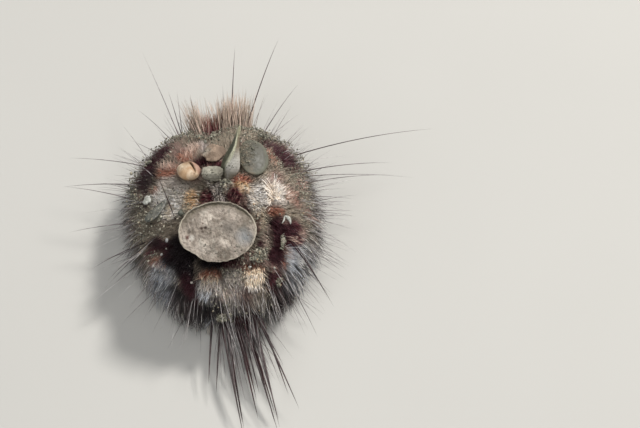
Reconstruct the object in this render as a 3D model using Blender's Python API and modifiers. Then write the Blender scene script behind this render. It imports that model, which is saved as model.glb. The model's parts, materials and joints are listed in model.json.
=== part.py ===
"""A fine-spined heart urchin, life size, crawling on the seabed with bits of shell on its back.

Metres, +Z up. The animal faces +Y and its right side is +X. The origin is on the floor, under the
middle of the test. The test is modelled whole and parted by thin cuts into the areas that a
naturalist names, and each area carries its own spines.
"""

import math
import random

import bmesh
import bpy
from mathutils import Euler, Matrix, Vector
from mathutils.bvhtree import BVHTree

# The test, the shell under the spines
TEST_LENGTH = 0.050
TEST_WIDTH = 0.043
CROWN = 0.0135
BELLY = 0.0065
FOOT = 0.0032
WAIST = FOOT + BELLY
OUTLINE_POWER = 2.25
CROWN_FULLNESS = 0.82
BELLY_FULLNESS = 0.62
APEX_FORWARD = 0.0062
FRONT_NOTCH = 0.0028
NOTCH_SPAN = math.radians(17)
GROOVE_DEPTH = 0.0010
GROOVE_WIDTH = 0.0030
REAR_CUT = 0.0019
REAR_TAPER = 0.16
KEEL_HEIGHT = 0.0011
KEEL_WIDTH = 0.0060
TURNS = 34
BANDS = 14
NEAR_POLE = math.radians(89.5)
SLIGHT = 0.002

# The mouth, under the front third, with its lip, and the breastplate behind it
MOUTH_Y = 0.0125
MOUTH_WIDTH = 0.0080
MOUTH_LENGTH = 0.0046
MOUTH_SINK = 0.0016
LIP_HEIGHT = 0.0009
PLASTRON_FRONT = MOUTH_Y - MOUTH_LENGTH / 2 - 0.0012
PLASTRON_REAR = -0.0180
PLASTRON_HALF_WIDTH = 0.0062
PLASTRON_BULGE = 0.0008

# The cuts that part the test
GAP = 0.0003
SEAM = WAIST - 0.0008
FAR = 0.045
DISC_RADIUS = 0.0027
PETAL_TURNS = {
    "petal_front": 0.0,
    "petal_front_right": math.radians(68),
    "petal_rear_right": math.radians(146),
    "petal_rear_left": math.radians(-146),
    "petal_front_left": math.radians(-68),
}
PETAL_LENGTH = 0.0175
PETAL_HALF_WIDTH = 0.0026
PETAL_NECK = 0.0009
PETAL_STEPS = 12
PERIPROCT_HEIGHT = 0.0148
PERIPROCT_LIFT = math.radians(22)
PERIPROCT_RADIUS = 0.0026
TUFT_HEIGHT = 0.0062
TUFT_LIFT = math.radians(-30)
TUFT_HALF_WIDTH = 0.0066
TUFT_HALF_HEIGHT = 0.0022
PLUG_DEPTH = 0.0038

# The coat of fine spines: its depth on the back and at the rim, the share of it that is a solid
# core, and the share at which what the animal wears lies in it
COAT_TOP = 0.0038
COAT_RIM = 0.0074
CORE_REACH = 0.42
REST_REACH = 0.66
COAT_COUNT = 800
COAT_SPAN = 1.46
COAT_CROWDING = 1.22

# Spines: root radius, sides and bends of each kind, and how deep a root is sunk
FINE_RADIUS = 0.00034
LONG_RADIUS = 0.00042
TAIL_RADIUS = 0.00046
BLUNT_RADIUS = 0.00044
ROOT_SINK = 0.0011
TAPER = 1.7
TIP_LIFT = 0.0004
STEP = 0.0006
CELL = 0.0016
KINDS = {
    "fine": (FINE_RADIUS, 3, 1),
    "long": (LONG_RADIUS, 3, 3),
    "tail": (TAIL_RADIUS, 3, 3),
    "blunt": (BLUNT_RADIUS, 4, 0),
}
SEED = 7
GOLDEN = math.pi * (3 - math.sqrt(5))

# Long spines that stand out of the coat. Each row is where the root is (turn, lift), which way the
# spine goes (heading from the front, pitch above the level), all in degrees, and its length in mm.
LONG_FRONT = [
    (16, 45, 10, -8, 36), (20, 40, 27, -10, 36), (2, 42, 19, -22, 24), (-22, 30, -1, -14, 22),
    (-12, 40, -3, -20, 22), (-24, 38, -14, -8, 38), (-26, 34, -30, -20, 23), (-44, 12, -24, -14, 22),
    (8, 18, 4, -6, 21), (30, 22, 36, -7, 24),
]
LONG_RIGHT = [
    (48, 18, 85, 0, 45), (58, 30, 80, -14, 19), (64, 26, 86, -9, 30), (60, 6, 100, 4, 34),
    (76, 12, 78, -8, 17), (56, 20, 28, -24, 14), (50, 8, 34, -14, 15), (94, 2, 127, -12, 17),
    (98, 10, 78, -16, 15), (136, -10, 160, -13, 17), (122, 26, 146, -16, 21), (70, 16, 92, 2, 27),
]
LONG_LEFT = [
    (-42, 16, -74, 0, 25), (-58, 22, -80, -5, 24), (-80, 2, -89, -2, 20), (-110, 34, -99, -22, 20),
    (-104, 20, -117, -24, 15), (-110, 4, -117, -12, 21), (-98, 0, -127, -14, 19), (-96, 44, -16, 24, 14),
    (-68, 12, -70, 2, 22),
]
MORE_LONG = 18
MORE_LENGTH = (0.012, 0.019)
TAIL = [
    (-168, -22, 176, -8, 36), (-173, -23, 180, -6, 28), (-178, -22, 174, -8, 31),
    (177, -23, 170, -7, 36), (172, -22, 171, -8, 32), (168, -21, 163, -5, 31),
    (-170, -41, -170, -3, 24), (-176, -41, -178, -2, 22), (179, -42, 177, -2, 25),
    (174, -41, 168, -3, 21), (170, -41, 158, -3, 20),
]

# The blunt spines that it stands on: rows across the breastplate and beside it, each by how far
# back it is and how far from the middle line, in metres
FEET = [
    (0.0, 0.0), (0.0046, 0.0), (0.0050, 0.0034), (0.0004, 0.0040), (-0.0040, 0.0020),
    (-0.0082, 0.0042), (-0.0084, 0.0), (-0.0124, 0.0022), (-0.0160, 0.0),
]
SIDE_FEET = [
    (0.0128, 0.0084), (0.0116, 0.0120), (0.0080, 0.0100), (0.0062, 0.0138), (0.0022, 0.0108),
    (-0.0004, 0.0144), (-0.0040, 0.0112), (-0.0066, 0.0142), (-0.0105, 0.0112), (-0.0152, 0.0086),
    (0.0168, 0.0050), (-0.0188, 0.0045),
]

# Pieces of shell and rubble on the spines: centre on the back, turn about the upright, tilt to the
# front and to the right, in metres and degrees
WORN = {
    "worn_shell_large": (-0.0018, -0.0104, 2, -9, 3),
    "worn_disc": (0.0100, 0.0115, 0, 4, 12),
    "worn_snail": (-0.0074, 0.0085, 20, 8, -10),
    "worn_stone": (-0.0013, 0.0072, 10, 0, 0),
    "worn_chip": (-0.0004, 0.0144, 15, 16, 0),
    "worn_sliver": (-0.0172, -0.0003, 48, 0, -32),
    "worn_shell_upright": (0.0033, 0.0058, 22, 0, 0),
}
SHELL_WIDTH = 0.0200
SHELL_DEPTH = 0.0162
SHELL_CHORD = 0.0083
SHELL_BOWL = 0.0032
SHELL_LIP = 0.0006
UPRIGHT_LENGTH = 0.0150
UPRIGHT_WIDTH = 0.0052
UPRIGHT_LEAN = math.radians(50)
PLATE_THICKNESS = 0.0009
DROP_FROM = 0.06

# Colours and roughness of the areas and of what is worn
PLUM = (0.105, 0.035, 0.045)
RUSSET = (0.24, 0.11, 0.08)
CREAM = (0.50, 0.42, 0.34)
PINK = (0.33, 0.22, 0.20)
LOOKS = {
    "apical_disc": (PINK, 0.80),
    "petal_front": (PLUM, 0.75),
    "petal_front_right": (RUSSET, 0.75),
    "petal_front_left": (RUSSET, 0.75),
    "petal_rear_right": (PLUM, 0.75),
    "petal_rear_left": (PLUM, 0.75),
    "shoulder_right": (RUSSET, 0.75),
    "shoulder_left": (RUSSET, 0.75),
    "flank_right": (CREAM, 0.70),
    "flank_left": (CREAM, 0.70),
    "rump": (PINK, 0.75),
    "periproct": (PINK, 0.80),
    "tail_pad": (PLUM, 0.70),
    "plastron": (CREAM, 0.70),
    "mouth": (PINK, 0.85),
    "underside_right": (CREAM, 0.70),
    "underside_left": (CREAM, 0.70),
    "worn_shell_large": ((0.52, 0.46, 0.40), 0.90),
    "worn_shell_upright": ((0.34, 0.34, 0.27), 0.55),
    "worn_disc": ((0.40, 0.42, 0.35), 0.45),
    "worn_snail": ((0.72, 0.58, 0.44), 0.60),
    "worn_stone": ((0.38, 0.39, 0.31), 0.90),
    "worn_chip": ((0.50, 0.40, 0.34), 0.80),
    "worn_sliver": ((0.40, 0.46, 0.46), 0.60),
}


def mix(a, b, share):
    return a + (b - a) * share


def bell(distance, width):
    return math.exp(-((distance / width) ** 2))


def power(value, exponent):
    return math.copysign(abs(value) ** exponent, value)


def outline(turn):
    """How far the widest line of the test is from its middle, at a turn clockwise from the front."""
    across = abs(math.sin(turn)) / (TEST_WIDTH / 2)
    along = abs(math.cos(turn)) / (TEST_LENGTH / 2)
    reach = (across**OUTLINE_POWER + along**OUTLINE_POWER) ** (-1 / OUTLINE_POWER)
    turn = math.remainder(turn, math.tau)
    return reach - FRONT_NOTCH * bell(turn, NOTCH_SPAN)


def test_point(turn, lift):
    """A point of the test: turn runs clockwise from the front, lift from the belly to the apex."""
    upper = lift > 0
    level = math.cos(lift) ** (CROWN_FULLNESS if upper else BELLY_FULLNESS)
    x = outline(turn) * level * math.sin(turn)
    y = outline(turn) * level * math.cos(turn)
    if upper:
        y += APEX_FORWARD * math.sin(lift) ** 2
    half = TEST_LENGTH / 2
    backward = max(0.0, -y) / half
    x *= 1 - REAR_TAPER * backward**1.6
    flat_from = -half + 2.2 * REAR_CUT
    if y < flat_from:
        y = flat_from - REAR_CUT * math.tanh((flat_from - y) / REAR_CUT)
    if upper:
        z = WAIST + CROWN * math.sin(lift)
        z += KEEL_HEIGHT * bell(x, KEEL_WIDTH) * min(1.0, max(0.0, -y) / 0.006) * math.sin(lift)
        forward = min(1.0, max(0.0, y - APEX_FORWARD) / 0.008)
        z -= GROOVE_DEPTH * bell(x, GROOVE_WIDTH) * forward
    else:
        z = WAIST + BELLY * power(math.sin(lift), 0.9)
        mouth_gap = math.hypot(x / MOUTH_WIDTH, (y - MOUTH_Y) / MOUTH_LENGTH)
        z += MOUTH_SINK * bell(mouth_gap, 0.62)
        z -= LIP_HEIGHT * bell(x, 0.0034) * bell(y - PLASTRON_FRONT, 0.0013)
        z -= PLASTRON_BULGE * bell(x, PLASTRON_HALF_WIDTH) * bell(y + 0.006, 0.011)
    return Vector((x, y, z))


def test_normal(turn, lift):
    lift = max(-NEAR_POLE, min(NEAR_POLE, lift))
    step = 0.01
    over = test_point(turn + step, lift) - test_point(turn - step, lift)
    up = test_point(turn, min(NEAR_POLE, lift + step)) - test_point(turn, max(-NEAR_POLE, lift - step))
    return up.cross(over).normalized()


def coat_depth(turn, lift):
    """How far the tips of the fine coat stand off the test."""
    return mix(COAT_RIM, COAT_TOP, abs(math.sin(lift)) ** 1.5)


def coat_point(turn, lift, share=1.0):
    """A point in the coat: share runs from the test (0) to the tips (1)."""
    return test_point(turn, lift) + test_normal(turn, lift) * coat_depth(turn, lift) * share


def core_point(turn, lift):
    """The solid core of the coat, which thins to nothing on the underside."""
    side = min(1.0, max(0.0, lift / math.radians(35) + 1))
    return coat_point(turn, lift, CORE_REACH * side * side * (3 - 2 * side))


def rest_point(turn, lift):
    return coat_point(turn, lift, REST_REACH)


def closed_surface(name, place, turns=TURNS, bands=BANDS):
    """A closed mesh object: a sphere primitive whose points move to place(turn, lift)."""
    bm = bmesh.new()
    bmesh.ops.create_uvsphere(bm, u_segments=turns, v_segments=bands, radius=1)
    for vert in bm.verts:
        turn = math.atan2(vert.co.x, vert.co.y)
        lift = math.asin(max(-1.0, min(1.0, vert.co.z)))
        vert.co = place(turn, lift)
    bmesh.ops.recalc_face_normals(bm, faces=bm.faces)
    return object_of(name, bm)


def object_of(name, bm, collection=None):
    mesh = bpy.data.meshes.new(name)
    bm.to_mesh(mesh)
    bm.free()
    obj = bpy.data.objects.new(name, mesh)
    (collection or bpy.context.scene.collection).objects.link(obj)
    return obj


def helper_collection(name):
    collection = bpy.data.collections.new(name)
    bpy.context.scene.collection.children.link(collection)
    return collection


def thicken(sheet):
    solid = sheet.modifiers.new("thickness", "SOLIDIFY")
    solid.thickness = GAP
    solid.offset = 0
    solid.use_even_offset = True
    return sheet


def wall(name, points, bottom, top, closed, cutters):
    """A thin upright wall along points seen from above, as a cutter one gap thick."""
    bm = bmesh.new()
    foot = [bm.verts.new((x, y, bottom)) for x, y in points]
    chain = [bm.edges.new(pair) for pair in zip(foot, foot[1:])]
    if closed:
        chain.append(bm.edges.new((foot[-1], foot[0])))
    risen = bmesh.ops.extrude_edge_only(bm, edges=chain)["geom"]
    raised = [item for item in risen if isinstance(item, bmesh.types.BMVert)]
    bmesh.ops.translate(bm, verts=raised, vec=(0, 0, top - bottom))
    bmesh.ops.recalc_face_normals(bm, faces=bm.faces)
    return thicken(object_of(name, bm, cutters))


def ring(half_width, half_length, middle_y, count):
    """Points round an ellipse seen from above."""
    steps = [math.tau * i / count for i in range(count)]
    return [(half_width * math.sin(t), middle_y + half_length * math.cos(t)) for t in steps]


def petal_half_width(along):
    share = min(1.0, max(0.0, along / PETAL_LENGTH))
    return PETAL_NECK + (PETAL_HALF_WIDTH - PETAL_NECK) * math.sin(math.pi * share) ** 0.8


def petal_side(turn, side):
    """One edge of a petal, from the apical disc out past the rim of the test."""
    ahead = Vector((math.sin(turn), math.cos(turn)))
    across = Vector((math.cos(turn), -math.sin(turn))) * side
    apex = Vector((0.0, APEX_FORWARD))
    reach = [-2 * GAP] + [PETAL_LENGTH * i / PETAL_STEPS for i in range(PETAL_STEPS + 1)] + [FAR]
    edge = []
    for along in reach:
        edge.append(apex + ahead * (DISC_RADIUS + along) + across * petal_half_width(along))
    return [tuple(point) for point in edge]


def can(name, middle, width, height, cutters):
    """A cutter that frees a plug from the rear face: a thin can, open to the rear."""
    bm = bmesh.new()
    bmesh.ops.create_cone(bm, cap_ends=True, segments=20, radius1=1, radius2=1, depth=2 * PLUG_DEPTH)
    outward = [f for f in bm.faces if f.normal.z > 0.9]
    bmesh.ops.delete(bm, geom=outward, context="FACES_ONLY")
    for vert in bm.verts:
        vert.co = Vector((vert.co.x * width, middle.y - vert.co.z, middle.z + vert.co.y * height))
    bmesh.ops.recalc_face_normals(bm, faces=bm.faces)
    return thicken(object_of(name, bm, cutters))


def seam_plate(cutters):
    bm = bmesh.new()
    bmesh.ops.create_cube(bm, size=1, matrix=Matrix.Diagonal((4 * FAR, 4 * FAR, GAP, 1)))
    bmesh.ops.translate(bm, verts=bm.verts, vec=(0, 0, SEAM))
    return object_of("cut_seam", bm, cutters)


def make_cutters(surface):
    cutters = helper_collection("cuts")
    seam_plate(cutters)
    top = WAIST + CROWN + 0.01
    disc = ring(DISC_RADIUS, DISC_RADIUS, APEX_FORWARD, 20)
    wall("cut_disc", disc, SEAM, top, True, cutters)
    for name, turn in PETAL_TURNS.items():
        for side in (-1, 1):
            wall(f"cut_{name}_{side}", petal_side(turn, side), SEAM, top, False, cutters)
    plastron_middle = (PLASTRON_FRONT + PLASTRON_REAR) / 2
    plastron_half = (PLASTRON_FRONT - PLASTRON_REAR) / 2
    shield = ring(PLASTRON_HALF_WIDTH, plastron_half, plastron_middle, 20)
    wall("cut_plastron", shield, -0.01, SEAM, True, cutters)
    mouth = ring(MOUTH_WIDTH / 2, MOUTH_LENGTH / 2, MOUTH_Y, 20)
    wall("cut_mouth", mouth, -0.01, SEAM, True, cutters)
    wall("cut_chin", [(0, MOUTH_Y + MOUTH_LENGTH / 2), (0, FAR)], -0.01, SEAM, False, cutters)
    wall("cut_lip", [(0, PLASTRON_FRONT), (0, MOUTH_Y - MOUTH_LENGTH / 2)], -0.01, SEAM, False, cutters)
    heel = [(0, -FAR), (0, PLASTRON_REAR)]
    pad_foot = TUFT_HEIGHT - TUFT_HALF_HEIGHT
    pad_top = TUFT_HEIGHT + TUFT_HALF_HEIGHT
    wall("cut_heel_below", heel, -0.01, pad_foot, False, cutters)
    wall("cut_heel_above", heel, pad_top, SEAM, False, cutters)
    rear = surface(math.pi, TUFT_LIFT).y
    heel = [(0, rear + PLUG_DEPTH), (0, PLASTRON_REAR)]
    wall("cut_heel_between", heel, pad_foot, pad_top, False, cutters)
    can("cut_tuft", Vector((0, rear, TUFT_HEIGHT)), TUFT_HALF_WIDTH, TUFT_HALF_HEIGHT, cutters)
    rear = surface(math.pi, PERIPROCT_LIFT).y
    can("cut_periproct", Vector((0, rear, PERIPROCT_HEIGHT)), PERIPROCT_RADIUS, PERIPROCT_RADIUS, cutters)
    return cutters


def seeds(surface):
    """A point inside each area, by which a cut piece gets its name."""
    above = SEAM + 0.002
    below = SEAM - 0.0015
    found = {"apical_disc": (0, APEX_FORWARD, above)}
    turns = list(PETAL_TURNS.values())
    for name, turn in PETAL_TURNS.items():
        reach = DISC_RADIUS + PETAL_LENGTH / 2
        found[name] = (reach * math.sin(turn), APEX_FORWARD + reach * math.cos(turn), above)
    between = {
        "shoulder_right": (turns[0] + turns[1]) / 2,
        "flank_right": (turns[1] + turns[2]) / 2,
        "rump": math.pi,
        "flank_left": (turns[3] + turns[4]) / 2,
        "shoulder_left": (turns[4] + turns[0]) / 2,
    }
    for name, turn in between.items():
        found[name] = (0.012 * math.sin(turn), APEX_FORWARD + 0.012 * math.cos(turn), above)
    found["periproct"] = (0, surface(math.pi, PERIPROCT_LIFT).y + PLUG_DEPTH / 2, PERIPROCT_HEIGHT)
    found["tail_pad"] = (0, surface(math.pi, TUFT_LIFT).y + PLUG_DEPTH / 2, TUFT_HEIGHT)
    found["plastron"] = (0, (PLASTRON_FRONT + PLASTRON_REAR) / 2, below)
    found["mouth"] = (0, MOUTH_Y, below)
    found["underside_right"] = (0.013, 0, below)
    found["underside_left"] = (-0.013, 0, below)
    return found


def apply_modifiers(obj):
    graph = bpy.context.evaluated_depsgraph_get()
    made = bpy.data.meshes.new_from_object(obj.evaluated_get(graph))
    obj.modifiers.clear()
    obj.data = made


def boolean(obj, collection, operation, solver):
    """Joins or cuts obj with all of a collection's objects, applies it and removes the collection."""
    step = obj.modifiers.new(operation.lower(), "BOOLEAN")
    step.operand_type = "COLLECTION"
    step.collection = collection
    step.operation = operation
    step.solver = solver
    apply_modifiers(obj)
    for used in list(collection.objects):
        bpy.data.objects.remove(used)
    bpy.data.collections.remove(collection)


def islands(bm):
    """The faces of each separate closed surface."""
    waiting = set(bm.faces)
    found = []
    while waiting:
        grown = {waiting.pop()}
        edge = list(grown)
        while edge:
            near = {f for side in edge.pop().edges for f in side.link_faces} & waiting
            waiting -= near
            grown |= near
            edge.extend(near)
        found.append(grown)
    return found


def mesh_of(obj, faces_kept=None):
    """A copy of obj's mesh in world space, with all its faces or only those given by index."""
    bm = bmesh.new()
    bm.from_mesh(obj.data)
    bm.transform(obj.matrix_world)
    if faces_kept is not None:
        dropped = [f for f in bm.faces if f.index not in faces_kept]
        bmesh.ops.delete(bm, geom=dropped, context="FACES")
    return bm


def tree_of(objects):
    joined = bmesh.new()
    for obj in objects:
        mesh = obj.data.copy()
        mesh.transform(obj.matrix_world)
        joined.from_mesh(mesh)
        bpy.data.meshes.remove(mesh)
    tree = BVHTree.FromBMesh(joined)
    joined.free()
    return tree


def inside(tree, point):
    """Whether a point is inside the closed surface that a tree holds."""
    ray = Vector((0.31, 0.17, 0.93)).normalized()
    crossings = 0
    start = Vector(point)
    hit, _, _, _ = tree.ray_cast(start, ray)
    while hit is not None:
        crossings += 1
        hit, _, _, _ = tree.ray_cast(hit + ray * 1e-6, ray)
    return crossings % 2 == 1


def part_test(surface):
    """The whole body parted by the cuts, as one named object for each area."""
    whole = closed_surface("whole", surface)
    boolean(whole, make_cutters(surface), "DIFFERENCE", "EXACT")
    bm = mesh_of(whole)
    pieces = [{f.index for f in island} for island in islands(bm)]
    bm.free()
    areas = {}
    for piece in pieces:
        part = mesh_of(whole, piece)
        tree = BVHTree.FromBMesh(part)
        for name, seed in seeds(surface).items():
            if inside(tree, seed):
                areas[name] = object_of(name, part)
                break
    bpy.data.objects.remove(whole)
    return areas


def heading_vector(heading, pitch):
    heading = math.radians(heading)
    pitch = math.radians(pitch)
    level = math.cos(pitch)
    return Vector((level * math.sin(heading), level * math.cos(heading), math.sin(pitch)))


class Spine:
    """One spine: its root on the body, the way it leaves it, the way it ends up, and its size."""

    def __init__(self, root, rise, lie, length, kind):
        self.root = root
        self.rise = rise.normalized()
        self.lie = lie.normalized()
        self.length = length
        self.blunt = kind == "blunt"
        self.radius, self.sides, self.bends = KINDS[kind]

    def axis(self, share):
        bent = share * share / 2
        return self.root + self.length * (self.rise * (share - bent) + self.lie * bent)

    def girth(self, share):
        if self.blunt:
            return self.radius * (1 + 0.25 * share)
        return self.radius * (1 - max(0.0, share) ** TAPER)

    def build(self, collection):
        """A cone, ringed where it bends, laid along the spine's axis with its root sunk."""
        bm = bmesh.new()
        end = 1 if self.blunt else 0
        bmesh.ops.create_cone(bm, cap_ends=True, segments=self.sides, radius1=1, radius2=end, depth=1)
        for i in range(self.bends):
            level = (i + 1) / (self.bends + 1) - 0.5
            parts = bm.verts[:] + bm.edges[:] + bm.faces[:]
            bmesh.ops.bisect_plane(bm, geom=parts, dist=1e-6, plane_co=(0, 0, level), plane_no=(0, 0, 1))
        upright = self.rise.cross(Vector((0.13, 0.21, 0.97))).normalized()
        sunk = -ROOT_SINK / self.length
        for vert in bm.verts:
            share = vert.co.z + 0.5
            width = self.girth(share)
            if not self.blunt:
                width = 0.0 if share > 0.999 else width / (1 - share)
            if share < 0.001:
                middle = self.root + self.rise * self.length * sunk
            else:
                middle = self.axis(share)
            ahead = (self.rise * (1 - share) + self.lie * share).normalized()
            side = (upright - ahead * upright.dot(ahead)).normalized()
            vert.co = middle + (side * vert.co.x + ahead.cross(side) * vert.co.y) * width
            if self.blunt and share > 0.999:
                vert.co.z = 0.0
        return object_of("spine", bm, collection)


def keep_largest(obj):
    bm = mesh_of(obj)
    pieces = sorted(islands(bm), key=len)
    spare = [face for piece in pieces[:-1] for face in piece]
    bmesh.ops.delete(bm, geom=spare, context="FACES")
    bm.to_mesh(obj.data)
    bm.free()


class Thicket:
    """The spines set so far, and the bodies that each new one keeps clear of."""

    def __init__(self, areas, worn):
        self.trees = {name: tree_of([obj]) for name, obj in areas.items()}
        self.others = {}
        for name in areas:
            rest = [obj for other, obj in areas.items() if other != name]
            self.others[name] = tree_of(rest + worn)
        self.cells = {}
        self.grown = {name: [] for name in areas}

    def cell(self, point):
        return tuple(math.floor(value / CELL) for value in point)

    def crowded(self, point, radius):
        """Whether a ball at a point comes too near a spine that is set already."""
        cx, cy, cz = self.cell(point)
        for i in (-1, 0, 1):
            for j in (-1, 0, 1):
                for k in (-1, 0, 1):
                    for other, girth in self.cells.get((cx + i, cy + j, cz + k), ()):
                        if (other - point).length < radius + girth + GAP:
                            return True
        return False

    def steps(self, spine):
        count = max(4, math.ceil(spine.length / STEP))
        return [i / count for i in range(count + 1)]

    def room(self, spine, area):
        """The share of a spine's length, from its root, that is clear of everything else."""
        sunk = spine.root - spine.rise * ROOT_SINK
        reach = spine.radius + 1.15 * GAP
        if self.others[area].find_nearest(sunk, reach)[0] is not None:
            return 0.0
        free = 0.0
        for share in self.steps(spine):
            point = spine.axis(share)
            girth = spine.girth(share)
            if point.z < girth + TIP_LIFT and not spine.blunt:
                return free
            if self.others[area].find_nearest(point, girth + 1.15 * GAP)[0] is not None:
                return free
            if self.crowded(point, girth):
                return free
            if share * spine.length > 0.0015 and inside(self.trees[area], point):
                return free
            free = share
        return 1.0

    def set(self, spine, least):
        """Keeps a spine if at least a share of it finds room, cut to the length that does."""
        area = min(self.trees, key=lambda name: self.trees[name].find_nearest(spine.root)[3])
        whole = spine.length
        for _ in range(4):
            room = self.room(spine, area)
            if room == 1.0:
                break
            if room * spine.length < least * whole:
                return False
            spine.length *= room * 0.97
        else:
            return False
        self.grown[area].append(spine)
        for share in self.steps(spine):
            point = spine.axis(share)
            self.cells.setdefault(self.cell(point), []).append((point, spine.girth(share)))
        return True

    def fuse(self, areas):
        """Joins each area with its own spines."""
        for name, spines in self.grown.items():
            if spines:
                tuft = helper_collection(name + "_spines")
                for spine in spines:
                    spine.build(tuft)
                boolean(areas[name], tuft, "UNION", "MANIFOLD")
                keep_largest(areas[name])


def grow_long_spines(thicket, surface):
    """The spines that reach far beyond the coat, and the tuft under the rear end."""
    for kind, rows in (("long", LONG_FRONT + LONG_RIGHT + LONG_LEFT), ("tail", TAIL)):
        for row in rows:
            for turn_off, heading_off in ((0, 0), (3, 3), (-3, -3), (0, 7), (0, -7), (6, 6), (-6, -6)):
                turn, lift, heading, pitch, length = row
                root = surface(math.radians(turn + turn_off), math.radians(lift))
                rise = heading_vector(heading + heading_off, pitch + 16)
                lie = heading_vector(heading + heading_off, pitch - 14)
                if thicket.set(Spine(root, rise, lie, length / 1000, kind), 0.85):
                    break


def grow_more_long(thicket, surface, draw):
    """Shorter ones of the long spines, between the others, all round the rim of the back."""
    for i in range(MORE_LONG):
        turn = math.radians(-175 + 350 * (i + 0.5) / MORE_LONG) + draw.uniform(-0.12, 0.12)
        lift = math.radians(draw.uniform(2, 40))
        heading = math.degrees(turn) * 1.12 + draw.uniform(-12, 12)
        pitch = draw.uniform(-16, 2)
        length = draw.uniform(*MORE_LENGTH)
        rise = heading_vector(heading, pitch + 20)
        lie = heading_vector(heading, pitch - 14)
        thicket.set(Spine(surface(turn, lift), rise, lie, length, "long"), 0.7)


def grow_feet(thicket, body):
    """Blunt spines on the breastplate and beside it, which stand on the floor."""
    up = Vector((0, 0, 1))
    down = Vector((0, 0, -1))
    rows = [(back, side) for back, half in FEET + SIDE_FEET for side in {half, -half}]
    for back, side in rows:
        root, _, _, _ = body.ray_cast(Vector((side, back, 0)), up)
        splay = Vector((side, back, 0)) * 12
        lean = (down + splay.normalized() * min(0.35, splay.length)).normalized()
        if side == 0 and back == 0:
            lean = down
        thicket.set(Spine(root, lean, lean, root.z / -lean.z, "blunt"), 0.99)


def coat_lie(point, turn, lift):
    """Which way the coat lies: away from the apex, swept back, and down towards the rim."""
    away = Vector((point.x, point.y - APEX_FORWARD * max(0.0, math.sin(lift)), 0)).normalized()
    swept = away + Vector((0, -0.35, 0))
    swept.z = -0.10 - 0.25 * math.cos(lift)
    return swept.normalized()


def grow_coat(thicket, surface, draw):
    """The fine spines, spread evenly by turning a golden angle from one root to the next."""
    for i in range(COAT_COUNT):
        lift = math.asin(1 - COAT_SPAN * ((i + 0.5) / COAT_COUNT) ** COAT_CROWDING)
        turn = i * GOLDEN + draw.uniform(-0.05, 0.05)
        root = surface(turn, lift)
        outward = test_normal(turn, lift)
        lie = coat_lie(root, turn, lift)
        stand = mix(0.75, 0.45, math.cos(lift))
        wander = Vector((draw.uniform(-1, 1), draw.uniform(-1, 1), draw.uniform(-1, 1))) * 0.22
        rise = outward + lie * 0.25 + wander
        ending = outward * stand + lie + wander
        length = coat_depth(turn, lift) * draw.uniform(0.82, 1.12)
        thicket.set(Spine(root, rise, ending, length, "fine"), 0.45)


def shell_outline(turn):
    """How far the large shell reaches at a turn: an oval, flatter along one side."""
    across = abs(math.sin(turn)) / (SHELL_WIDTH / 2)
    along = abs(math.cos(turn)) / (SHELL_DEPTH / 2)
    reach = (across**2.1 + along**2.1) ** (-1 / 2.1)
    toward = math.cos(turn - math.radians(218))
    return min(reach, SHELL_CHORD / toward) if toward > 0.3 else reach


def shell_large(turn, lift):
    """A shallow valve lying on its back, with a thin raised lip and packed with sand inside."""
    level = math.cos(lift)
    reach = shell_outline(turn) * level
    x = reach * math.sin(turn)
    y = reach * math.cos(turn)
    if lift >= 0:
        lip = SHELL_LIP * bell(level - 0.97, 0.05)
        fill = 0.0005 * (1 - level * level)
        return Vector((x, y, lip + fill))
    return Vector((x, y, -SHELL_BOWL * (1 - level**2.4) * 0.96 - 0.0002))


def shell_upright(turn, lift):
    """A long pointed valve, hollow on its front, standing on its broad end and leaning forward."""
    along = 0.5 + 0.5 * math.cos(turn)
    half = UPRIGHT_WIDTH / 2 * math.sin(math.pi * min(1.0, along * 0.93 + 0.07)) ** 0.55
    across = math.sin(turn) * math.cos(lift)
    width = half * power(across, 0.6)
    high = UPRIGHT_LENGTH * (0.5 + 0.5 * math.cos(turn) * math.cos(lift))
    hollow = 0.0011 * (1 - across * across)
    thick = 0.00045 * math.sin(lift) * (1.2 - 0.5 * along)
    lean = Matrix.Rotation(-UPRIGHT_LEAN, 3, "X")
    return lean @ Vector((width, -hollow + thick, high))


def flat_piece(half_width, half_length, rise, lobes=0, lobe_size=0.0):
    """A thin piece with a domed top, round or lobed, as a surface for closed_surface."""

    def place(turn, lift):
        edge = 1 + lobe_size * math.cos(lobes * turn)
        level = math.cos(lift) ** 0.5
        x = half_width * edge * level * math.sin(turn)
        y = half_length * edge * level * math.cos(turn)
        z = (PLATE_THICKNESS / 2 + (rise if lift > 0 else 0.0)) * math.sin(lift)
        return Vector((x, y, z))

    return place


def lump(half_width, half_length, half_height, waist):
    """A rounded lump pinched across its middle."""

    def place(turn, lift):
        x = half_width * math.cos(lift) * math.sin(turn)
        y = half_length * math.cos(lift) * math.cos(turn)
        pinch = 1 - waist * bell(x, half_width * 0.3)
        return Vector((x, y * pinch, half_height * math.sin(lift) * pinch))

    return place


def snail(turn, lift):
    """A broken snail shell on its side, with its slit of a mouth."""
    x = 0.0031 * math.cos(lift) * math.sin(turn)
    y = 0.0026 * math.cos(lift) * math.cos(turn)
    z = 0.0022 * math.sin(lift)
    slit = bell(x - 0.0012, 0.0006) * bell(y, 0.0018) * max(0.0, math.sin(lift))
    return Vector((x, y, z * (1 - 0.45 * slit)))


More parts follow.
